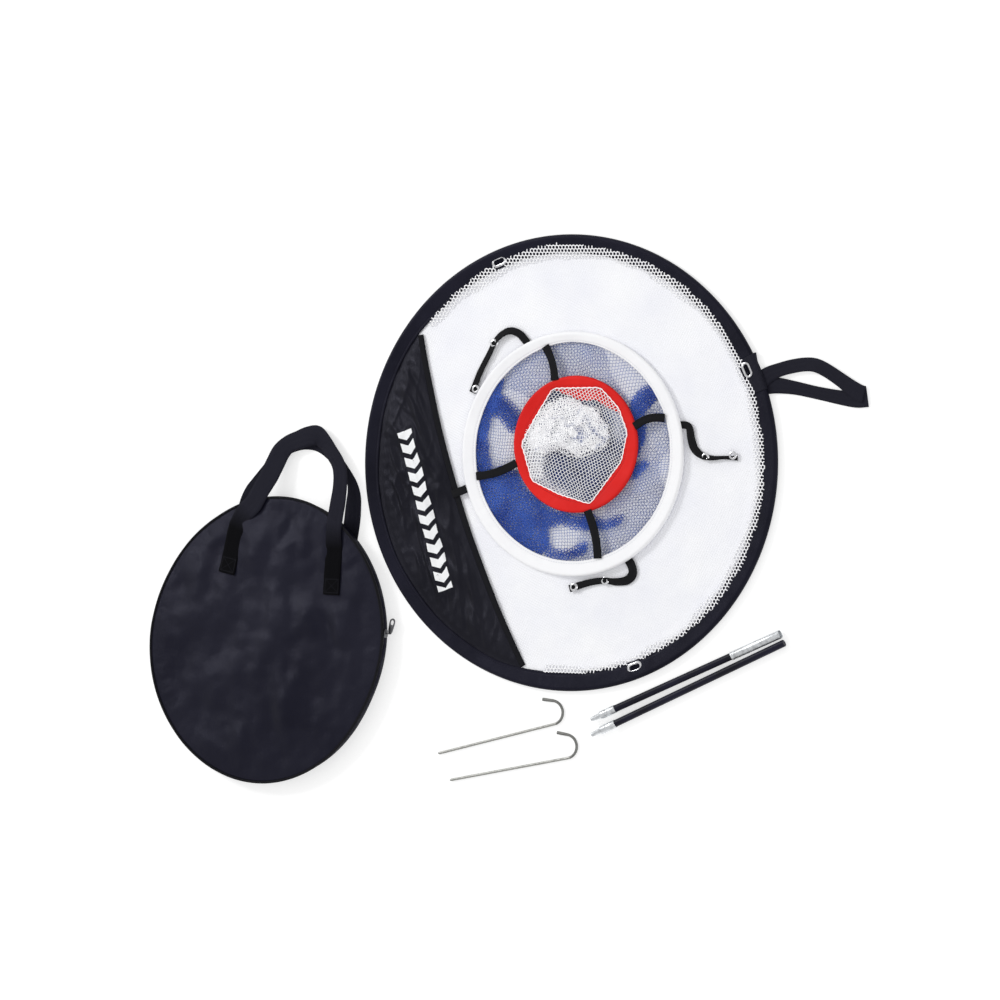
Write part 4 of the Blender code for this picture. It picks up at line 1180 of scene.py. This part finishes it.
def make_fixed_straps():
    path = [(-13, -144, 6.9), (-13, -137, 7.0), (-13, -130, 7.6), (-13, -124.5, 9.2)]
    strap = ribbon("bottom_strap_webbing", path, 9.0, 1.1, M["strap"], None, steps=24)
    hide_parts("middle_ring_bottom_strap")
    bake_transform(strap)
    for side, deg, bow in (("right", -7, 3), ("top", 85.7, 4), ("left", 180, -3), ("bottom", 267, 3)):
        t = np.radians(deg)
        out, over = np.array([np.cos(t), np.sin(t)]), np.array([-np.sin(t), np.cos(t)])
        centre = np.array([IX, IY])
        offset = centre - [MX, MY]
        slant = offset @ out
        reach = MID_R - (11.5 if side == "left" else 15.5)
        span = np.sqrt(slant ** 2 + reach ** 2 - offset @ offset) - slant
        start, end = centre + out * span, centre + out * (IN_R - 1.0)
        spots = []
        for k in np.linspace(0, 1, 6):
            p = start + (end - start) * k + over * bow * np.sin(np.pi * k)
            spots.append((*p, 8.9 + (11.7 - 8.9) * k + 0.5 * np.sin(np.pi * k), 8 * np.sin(np.pi * k)))
        name = "inner_strap_webbing_" + side
        strap = ribbon(name, spots, 9.2, 1.1, M["strap"], None, steps=70, edge_wave=0.05)
        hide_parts("inner_strap_" + side)
        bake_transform(strap)


# ---------------------------------------------------------------- storage bag
BAG_DEG = 150.0
BAG_A = 160.0
BAG_B = 143.0
BAG_X, BAG_Y = middle_of("bag_back_panel")
ZIP_HALF_DEG = 84.0


def bag_xy(a, b):
    t = np.radians(BAG_DEG)
    return BAG_X + a * np.cos(t) - b * np.sin(t), BAG_Y + a * np.sin(t) + b * np.cos(t)


# The bag lies a little out of shape: how far its edge is from the oval, at each angle.
BAG_SHAPE = {-34: 0.984, -10: 0.984, 11: 0.968, 39: 0.955, 70: 0.985, 101: 1.04, 121: 1.045, 156: 1.028,
             191: 1.015, 221: 1.0, 251: 0.98, 281: 1.0}


def bag_warp(a, b):
    """Moves a point of the oval to where it lies in the bag's real outline."""
    rho = np.sqrt((a / BAG_A) ** 2 + (b / BAG_B) ** 2)
    turn = np.degrees(np.arctan2(b / BAG_B, a / BAG_A))
    k = 1 + (by_angle(BAG_SHAPE, turn) - 1) * np.clip(rho, 0, 1) ** 4
    return a * k, b * k


def bag_rim(deg, radius):
    """Place in the whole kit of a point on the bag's outline; radius is measured towards the handles."""
    t = np.radians(deg)
    return bag_xy(*bag_warp(radius * np.cos(t), radius * np.sin(t) * BAG_B / BAG_A))


# Creases of the front panel: (a, b) of both ends, height, half width.
CREASES = (
    ((148, -8), (96, 4), -1.5, 6.0), ((148, -22), (92, -30), 1.6, 7.5), ((132, 22), (66, 36), 2.2, 13),
    ((118, 4), (62, -26), 2.6, 15), ((60, -22), (-30, 4), 2.2, 18), ((60, -84), (4, -96), 2.4, 13),
    ((44, -60), (-8, -98), -2.4, 8), ((58, -54), (2, -34), 2.2, 11), ((54, 60), (10, 84), 1.8, 12),
    ((40, 30), (-60, 66), -1.8, 15), ((-20, -44), (-110, -30), 2.4, 16), ((-30, -80), (-112, -66), -1.8, 11),
    ((20, 104), (-60, 108), 1.6, 12), ((118, -66), (96, -92), 1.6, 8), ((112, 68), (84, 100), 1.6, 9),
    ((-66, 26), (-142, 6), 2.2, 13), ((-80, 54), (-136, 40), -1.6, 9), ((10, -112), (-70, -104), 1.5, 9),
    ((-60, -16), (-140, -34), -1.8, 10), ((96, -84), (60, -112), 1.8, 8), ((30, 8), (-52, 24), -1.4, 13),
)


def bag_top(a, b):
    """Height of the bag's front panel."""
    a, b = np.asarray(a, float), np.asarray(b, float)
    rho = np.sqrt((a / BAG_A) ** 2 + (b / BAG_B) ** 2)
    inner = np.clip((1.0 - rho) / 0.16, 0, 1)
    inner = inner * inner * (3 - 2 * inner)
    z = 17.6 + 5.2 * np.clip(1 - rho ** 2.4, 0, 1) ** 0.9
    for (a0, b0), (a1, b1), lift, wide in CREASES:
        run = np.array([a1 - a0, b1 - b0], float)
        size = run @ run
        k = ((a - a0) * run[0] + (b - b0) * run[1]) / size
        off = np.abs((a - a0) * run[1] - (b - b0) * run[0]) / np.sqrt(size)
        end = np.clip(np.minimum(k, 1 - k) * 3.2, 0, 1)
        z = z + lift * np.exp(-(off / wide) ** 2) * end * (3 - 2 * end) * end * np.clip(inner * 4, 0, 1)
    fold = lumps(a * 0.45 + b * 0.2, b - a * 0.25, 24.0, 9.0)
    z = z + inner * (1.6 * lumps(a, b, 46.0, 2.0) + 1.5 * fold + 0.45 * lumps(a, b, 15.0, 3.0))
    turn = np.arctan2(b, a)
    pucker = (np.sin(turn * 88) * 0.3 + np.sin(turn * 37 + 1) * 0.3) * (0.4 + lumps(a, b, 60.0, 6.0))
    return z + pucker * np.exp(-((rho - 0.93) / 0.05) ** 2)


def bag_sheet(name, top_at, thickness, rings, sectors, mat, body, replaces, radius):
    r = np.linspace(0.012, 1, rings) ** 0.9 * radius
    t = np.arange(sectors) * 2 * np.pi / sectors
    a, b = r[:, None] * np.cos(t), r[:, None] * np.sin(t) * BAG_B / BAG_A
    x, y = bag_xy(*bag_warp(a, b))
    z = top_at(a, b)
    return disc_shell(name, x, y, z, z - thickness, mat, body, replaces, np.stack([a, b], -1))


def bag_wall(name, low, high, mat, body, replaces, span=(0.0, 360.0), wall=1.0, bulge=0.9, wrinkle=0.5,
             seed=3.0):
    """A strip of the bag's side. low and high give its edges' heights at each angle."""
    full = span[1] - span[0] >= 360
    steps = int((span[1] - span[0]) * 1.6)
    deg = np.linspace(span[0], span[1], steps, endpoint=not full)
    lo, hi = np.broadcast_to(low(deg), deg.shape), np.broadcast_to(high(deg), deg.shape)
    k = np.linspace(0, 1, 8)
    x0, y0 = bag_rim(deg, BAG_A)
    belly = np.sin(np.pi * k)
    wide, narrow = lumps(x0, y0, 13.0, seed)[:, None], lumps(x0, y0, 5.0, seed + 3)[:, None]
    wave = wrinkle * (wide * belly + 0.4 * narrow)
    out = BAG_A - 0.8 + bulge * belly[None] + wave * belly[None]
    z = lo[:, None] + (hi - lo)[:, None] * k[None]
    rr = np.concatenate([out, out[:, ::-1] - wall], 1)
    zz = np.concatenate([z, z[:, ::-1]], 1)
    x, y = bag_rim(deg[:, None], rr)
    verts = np.stack([x, y, zz], -1).reshape(-1, 3)
    m = rr.shape[1]
    ends = [] if full else [list(range(m)), list(range((steps - 1) * m, steps * m))[::-1]]
    uv = np.stack([np.broadcast_to(np.radians(deg)[:, None] * BAG_A, rr.shape), zz], -1).reshape(-1, 2) * MM
    return piece(name, verts, grid_faces(steps, m, wrap_rows=full, wrap_cols=True), mat=mat, body=body,
                 replaces=replaces, uv=uv, ngons=ends)


def in_zip(deg):
    d = (np.asarray(deg) + 180) % 360 - 180
    return np.clip((ZIP_HALF_DEG + 1.5 - np.abs(d)) / 1.5, 0, 1)


def at_hinge(deg):
    """1 where the side walls are cut back so that they clear each other when the lid folds back."""
    return np.clip((26.0 - np.abs(np.asarray(deg) - 180.0)) / 7.0, 0, 1)


def level_edge(z):
    """The height of a wall's edge, the same all round."""
    return lambda d: z + 0 * d


def seam_edge(at_zip, beyond, cut_back):
    """The height of a wall's edge where the walls meet: at the zip, beyond it, and cut back at the hinge."""
    return lambda d: at_zip * in_zip(d) + beyond * (1 - in_zip(d)) + cut_back * at_hinge(d)


def make_bag():
    back = bag_sheet("bag_back_cloth", lambda a, b: 2.7 + 0.25 * lumps(a, b, 40.0, 1.0), 0.9, 30, 160,
                     M["nylon"], "bag", ["bag_back_panel"], BAG_A - 0.4)
    cut = 3.6
    lower = bag_wall("bag_lower_side", level_edge(2.6), seam_edge(8.4, 9.9, -cut), M["nylon"], "bag",
                     ["bag_lower_gusset"], seed=3.0)
    front = bag_sheet("bag_front_cloth", bag_top, 0.9, 96, 256, M["bag"], "bag_lid", ["bag_front_panel"],
                      BAG_A + 0.6)
    upper = bag_wall("bag_upper_side", seam_edge(12.0, 10.4, cut), level_edge(17.2), M["nylon"], "bag_lid",
                     ["bag_upper_gusset"], seed=8.0)
    span = (-ZIP_HALF_DEG, ZIP_HALF_DEG)
    low_tape = bag_wall("bag_zip_tape_low", level_edge(8.5), level_edge(9.5), M["binding"], "bag",
                        ["bag_zip_lower_tape"], span, bulge=0.2, wrinkle=0.05)
    high_tape = bag_wall("bag_zip_tape_high", level_edge(10.7), level_edge(11.7), M["binding"], "bag_lid",
                         ["bag_zip_upper_tape"], span, bulge=0.2, wrinkle=0.05)
    low_teeth = zip_teeth("bag_zip_teeth_low", 9.5, 10.0, 0.0, "bag")
    high_teeth = zip_teeth("bag_zip_teeth_high", 10.2, 10.7, 0.5, "bag_lid")
    px, py = bag_rim(np.arange(300) * 1.2, BAG_A + 1.5)
    z = 17.5 + 0.3 * lumps(px, py, 26.0, 3.0)
    piping = tube("bag_piping", np.column_stack([px, py, z]), 1.5, M["binding"], "bag_lid",
                  ["bag_front_piping"], sides=12, steps=700, closed=True)
    hinge = bag_wall("bag_hinge_cloth", seam_edge(9.0, 9.0, -cut), seam_edge(11.2, 11.2, cut), M["nylon"],
                     None, (), (152.0, 208.0), wall=0.6, bulge=0.1, wrinkle=0.05)
    hx, hy = bag_rim(180.0, BAG_A - 1)
    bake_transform(hinge)


def zip_teeth(name, low, high, shift, body):
    """A row of small coil teeth along the zip."""
    pitch, mean_r = 1.5, 151
    count = int(np.radians(2 * ZIP_HALF_DEG - 2) * mean_r / pitch)
    deg = np.linspace(-ZIP_HALF_DEG + 1, ZIP_HALF_DEG - 1, count) + np.degrees(shift * pitch / mean_r)
    half = np.degrees(0.45 / mean_r)
    inner_r, outer_r = BAG_A - 1.6, BAG_A - 0.2
    corners = [(-half, inner_r, low), (half, inner_r, low), (half, outer_r, low), (-half, outer_r, low),
               (-half * 0.7, inner_r, high), (half * 0.7, inner_r, high), (half * 0.7, outer_r - 0.2, high),
               (-half * 0.7, outer_r - 0.2, high)]
    cols = []
    for d, r, z in corners:
        x, y = bag_rim(deg + d, r)
        cols.append(np.stack([x, y, np.full(count, z)], -1))
    verts = np.stack(cols, 1).reshape(-1, 3)
    k = np.arange(count)[:, None] * 8
    box = ([0, 3, 2, 1], [4, 5, 6, 7], [0, 1, 5, 4], [1, 2, 6, 5], [2, 3, 7, 6], [3, 0, 4, 7])
    return piece(name, verts, np.vstack([k + f for f in box]), mat=M["teeth"], body=body, smooth=False)


# The handles' middle lines in the bag's own coordinates: a, b, height, roll in degrees, share of the width.
FRONT_HANDLE = (
    (60, 62.5), (73, 62.2), (85, 61.8), (98, 61.4), (110, 60.4), (121, 57.6, 20.0, 0, 1.0),
    (132, 53, 20.6, 0, 1.0), (144, 44.5, 20.6, 0, 1.0), (161.5, 38, 19.6, 2, 0.96), (177, 33, 16.6, 4, 1.0),
    (193, 29.6, 13.0, 4, 1.02), (206, 26.5, 10.0, 2, 1.0), (216, 19.5, 8.2, -4, 0.92),
    (223, 9, 7.2, -8, 0.94), (229, -2, 6.6, -4, 1.0), (232, -13.5, 6.6, 6, 1.0), (227, -24, 7.2, 16, 0.92),
    (217.5, -35.5, 8.6, 14, 0.84), (207, -47, 11.0, 6, 0.78), (196, -53.5, 13.6, 0, 0.76),
    (182, -57.6, 16.8, 0, 0.78), (166, -59.8, 19.6, 0, 0.84), (151, -60.4, 20.6, 0, 0.84),
    (136, -61, 20.6, 0, 0.82), (124, -62.5, 20.0, 0, 0.84), (112, -65), (98, -67.2), (85, -68.8),
    (74, -70.6), (62.5, -72.3))
BACK_HANDLE = (
    (70, 62, 0.9), (90, 63, 0.9), (112, 64.5, 0.8), (134, 65, 0.72), (145, 64.2, 0.66), (156, 61.4, 0.58),
    (167, 56, 0.5), (179, 49.5, 0.42), (193, 40, 0.5), (208, 29, 0.7), (222, 8, 0.9), (224, -15, 0.9),
    (212, -36, 0.62), (200, -52.5, 0.46), (189, -62.5, 0.52), (180, -67, 0.66), (171, -69.2, 0.8),
    (158.8, -70.6, 0.88), (146, -71.8, 0.9), (124, -72.5, 0.9), (96, -74, 0.9), (70, -76, 0.9))


def bag_arch(side, spots, thickness, steps, crease, z):
    """A bag handle with its sewn legs; crease gives the a values of its body's joint, but the points worked
    out from it and z are not used.
    """
    name = f"bag_{side}_handle"
    arch = ribbon(name + "_webbing", spots, 22.5, thickness, M["leg"], None, steps=steps, edge_wave=0.03,
                  mirrored=True)
    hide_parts(name, name + "_sewn_left", name + "_sewn_right")
    near, far = [tuple(v * MM for v in (*bag_xy(a, 0), z)) for a in crease]
    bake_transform(arch)
    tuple(near)
    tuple(far)


def make_bag_handles():
    front = []
    for a, b, *rest in FRONT_HANDLE:
        front.append((*bag_xy(a, b), *(rest or (float(bag_top(a, b)) + 1.0, 0, 0.9))))
    bag_arch("front", front, 1.6, 360, (117, 129), 19.7)
    back = [(*bag_xy(a, b), 0.9, 0, wide) for a, b, wide in BACK_HANDLE]
    bag_arch("back", back, 1.5, 320, (157.5, 163), 0.9)


ZIP_REACH = 143.7              # radius of the zip's path, and the pull's place and lean beside it
PULL_OUT = 5.5
PULL_LEAN = 80.0


def make_zip_slider():
    low, high = mm_box("zip_slider")
    cx, cy = middle_of("zip_slider")
    zx, zy = bag_xy(16.9, 2.4)
    out = np.array([cx - zx, cy - zy])
    out /= np.linalg.norm(out)
    over = np.array([-out[1], out[0]])
    centre = np.array([cx, cy])
    depth, length = 2.3, 9.0
    rings = []
    count, sides = 15, 28
    for k in np.linspace(-1, 1, count):
        grow = (1 - abs(k) ** 3) ** 0.5 if abs(k) < 1 else 0.0
        wide = 0.35 + 0.65 * grow
        loop = []
        for t in np.arange(sides) * 2 * np.pi / sides:
            ct, st = np.cos(t), np.sin(t)
            u = np.sign(ct) * abs(ct) ** 0.6 * depth / 2 * wide
            v = np.sign(st) * abs(st) ** 0.6 * (high[2] - low[2]) / 2 * (0.62 + 0.38 * wide) * (1 - 0.12 * k)
            p = centre + out * (u - 0.1) + over * k * length / 2
            loop.append((*p, (low[2] + high[2]) / 2 + v))
        rings.append(loop)
    verts = np.array(rings).reshape(-1, 3)
    ends = [list(range(sides))[::-1], list(range((count - 1) * sides, count * sides))]
    piece("zip_slider_body", verts, grid_faces(count, sides, wrap_cols=True), mat=M["dark_metal"],
          body="zip_slider", replaces=["zip_slider"], ngons=ends)
    top = mm_box("zip_pull")[1][2]
    reach = ZIP_REACH + PULL_OUT
    start = np.array([zx, zy]) + out * reach
    lean = np.radians(PULL_LEAN)
    along = out * np.cos(lean) + over * np.sin(lean)
    across = np.array([-along[1], along[0]])
    path = [(*(centre + out * a), z) for a, z in ((-0.6, 10.7), (0.6, 11.2), (3.6, 10.9), (5.0, 9.6),
                                                  (5.3, 8.3), (4.2, 7.2), (2.0, 7.0), (0.4, 7.4))]
    tube("zip_slider_bridge", path, 0.55, M["dark_metal"], "zip_slider", sides=10, steps=50)
    outline = [(0, -1.6), (1.2, -1.9), (3, -2.6), (12.6, -3.3), (16.2, -2.5), (17.8, 0), (16.2, 2.5),
               (12.6, 3.3), (3, 2.6), (1.2, 1.9), (0, 1.6)]
    hole = [(11.0, -1.5), (14.2, -1.7), (15.8, 0), (14.2, 1.7), (11.0, 1.5), (10.2, 0)]
    plate("zip_pull_plate", start, along, across, outline, hole, top - 1.4, top, M["dark_metal"], "zip_pull",
          ["zip_pull"])


def plate(name, start, out, over, outline, hole, low, high, mat, body, replaces):
    """A thin plate with a hole, softened at its edges."""
    sides = 40

    def loop(points):
        p, _ = smooth_curve([(*q, 0) for q in points], sides, closed=True)
        return p[:, :2]

    outer, inner = loop(outline), loop(hole)
    outer, inner = [np.roll(ring, -np.argmin(np.abs(ring - ring.max(0)).sum(1)), 0)
                    for ring in (outer, inner)]
    mid_o, mid_i = outer.mean(0), inner.mean(0)
    ease = 0.25
    layers = [(outer, low + ease), (mid_o + (outer - mid_o) * 0.96, low),
              (mid_i + (inner - mid_i) * 1.12, low), (inner, low + ease), (inner, high - ease),
              (mid_i + (inner - mid_i) * 1.12, high), (mid_o + (outer - mid_o) * 0.96, high),
              (outer, high - ease)]
    verts = []
    for ring, z in layers:
        for a, b in ring:
            verts.append((*(start + out * a + over * b), z))
    faces = grid_faces(len(layers), sides, wrap_rows=True, wrap_cols=True)[:, ::-1]
    return piece(name, verts, faces, mat=mat, body=body, replaces=replaces)


# ---------------------------------------------------------------- poles and stakes
# The poles' tip and end in x and y, and the height of their middle line.
POLES = {"pole_a": ((274.4, -64.3), (257.0, 179.0), 4.8), "pole_b": ((290.3, -69.6), (267.4, 180.1), 4.5)}


def make_poles():
    for name, (start, end, height) in POLES.items():
        run = np.subtract(end, start)
        length, heading = np.hypot(*run), np.arctan2(run[1], run[0])
        socket = name == "pole_a"
        rod_end = length - 30 if socket else length
        shaft = [(17.5, 0), (17.5, 3.6), (17.8, 3.9), (rod_end - 0.4, 3.9), (rod_end, 3.5), (rod_end, 0)]
        turned(name + "_shaft", shaft, start, heading, M["rod"], name, [name + "_rod"], 36, height)
        nose = 11.5
        tip = [(0, 0), (0, 2.0), (0.25, 2.35), (0.6, 2.45), (nose - 0.6, 3.05), (nose, 3.3),
               (nose + 0.8, 4.2), (nose + 1.4, 4.5), (nose + 8.2, 4.5), (nose + 8.6, 4.15),
               (nose + 9.8, 4.15), (nose + 10.2, 4.5), (nose + 19.6, 4.5), (nose + 20, 4.3),
               (nose + 20, 4.2), (17.2, 4.2), (17.2, 0)]
        ferrule = turned(name + "_ferrule", tip, start, heading, M["alloy"], name, [name + "_tip"], 40,
                         height)
        dimple(ferrule, start, heading, height, nose + 4.5)
        if socket:
            low = length - 62
            sleeve = [(low, 4.2), (low, 4.45), (low + 0.4, 4.8), (low + 2.4, 4.8), (low + 2.8, 4.6),
                      (low + 3.4, 4.6), (low + 3.8, 4.8), (length - 0.5, 4.8), (length, 4.6), (length, 4.3),
                      (length - 0.4, 4.2)]
            turned(name + "_sleeve", sleeve, start, heading, M["alloy"], name, [name + "_socket"], 40, height)


def points_of(obj):
    """A piece's vertices in millimetres."""
    return np.array([v.co for v in obj.data.vertices]) / MM


def move_points(obj, co):
    obj.data.vertices.foreach_set("co", (co * MM).ravel())


def dimple(obj, start, heading, height, along):
    """A punched dent in the top of a tube, where it is crimped to its rod."""
    ax = np.array([np.cos(heading), np.sin(heading), 0])
    centre = np.array([start[0], start[1], height + 4.5]) + ax * along
    co = points_of(obj)
    far = np.linalg.norm(co - centre, axis=1)
    co[:, 2] -= 1.3 * np.exp(-(far / 1.7) ** 2)
    move_points(obj, co)


# The stakes' points in x and y, and their headings.
STAKES = {"stake_a": ((251.7, -256.2), 84.8), "stake_b": ((284.0, -252.0), 81.7)}
STAKE_MID = 1.6                # height of the wire's middle line
SHANK, HOOK_R, HOOK_DEG = 147.0, 13.0, 160.0


def make_stakes():
    for name, (start, deg) in STAKES.items():
        t = np.radians(deg)
        path = [np.array(start, float)]
        for _ in range(6):
            path.append(path[-1] + np.array([np.cos(t), np.sin(t)]) * SHANK / 6)
        steps = 16
        turn = np.radians(HOOK_DEG) / steps
        for _ in range(steps):
            t += turn / 2
            path.append(path[-1] + np.array([np.cos(t), np.sin(t)]) * 2 * HOOK_R * np.sin(turn / 2))
            t += turn / 2
        for _ in range(2):
            path.append(path[-1] + np.array([np.cos(t), np.sin(t)]) * 6.5)
        spots = [(*p, STAKE_MID) for p in path]

        def girth(v):
            return 0.55 + 0.45 * min(1.0, v / 0.006) if v < 0.5 else 1.0

        wire = tube(name + "_wire", spots, 1.5, M["wire"], name, [name], sides=14, steps=300, profile=girth)
        flatten_end(wire, path[-1], path[-2])
        darken_hook(wire, np.array(start), np.radians(deg))


def flatten_end(obj, tip, before):
    """The wire's hooked end is pressed flat and a little wider."""
    co = points_of(obj)
    tip = np.array([*tip, STAKE_MID])
    run = tip - np.array([*before, STAKE_MID])
    run /= np.linalg.norm(run)
    far = np.linalg.norm(co[:, :2] - tip[:2], axis=1)
    k = np.clip(1 - far / 20, 0, 1)
    side = np.array([-run[1], run[0]])
    off = (co[:, :2] - tip[:2]) @ side
    co[:, 2] = STAKE_MID + (co[:, 2] - STAKE_MID) * (1 - 0.35 * k)
    near = far < 14
    co[near, :2] += side * (off * 0.25 * k)[near, None]
    move_points(obj, co)


def darken_hook(obj, start, heading):
    """The bent end of a stake has dulled: its faces past the straight shank get a darker metal."""
    obj.data.materials.append(M["dark_wire"])
    run = np.array([np.cos(heading), np.sin(heading)])
    for face in obj.data.polygons:
        along = (np.array(face.center[:2]) / MM - start) @ run
        off = abs((np.array(face.center[:2]) / MM - start) @ np.array([-run[1], run[0]]))
        if along > 150.0 + 2.0 * lumps(face.center[0] * 1e3, face.center[1] * 1e3, 6.0) or off > 9.0:
            face.material_index = 1


make_camera()
make_studio()
make_hoop()
make_outer_net()
make_panel()
make_carry_handle()
make_handle_tab()
make_middle_ring()
make_inner_ring()
make_fixed_straps()
make_loose_straps()
make_bag()
make_bag_handles()
make_zip_slider()
make_poles()
make_stakes()

for node_name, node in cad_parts.items():
    if not node.hide_render:
        for kept in node.material_slots:
            kept.material = M["nickel"] if "eyelet" in node_name else M["steel"]
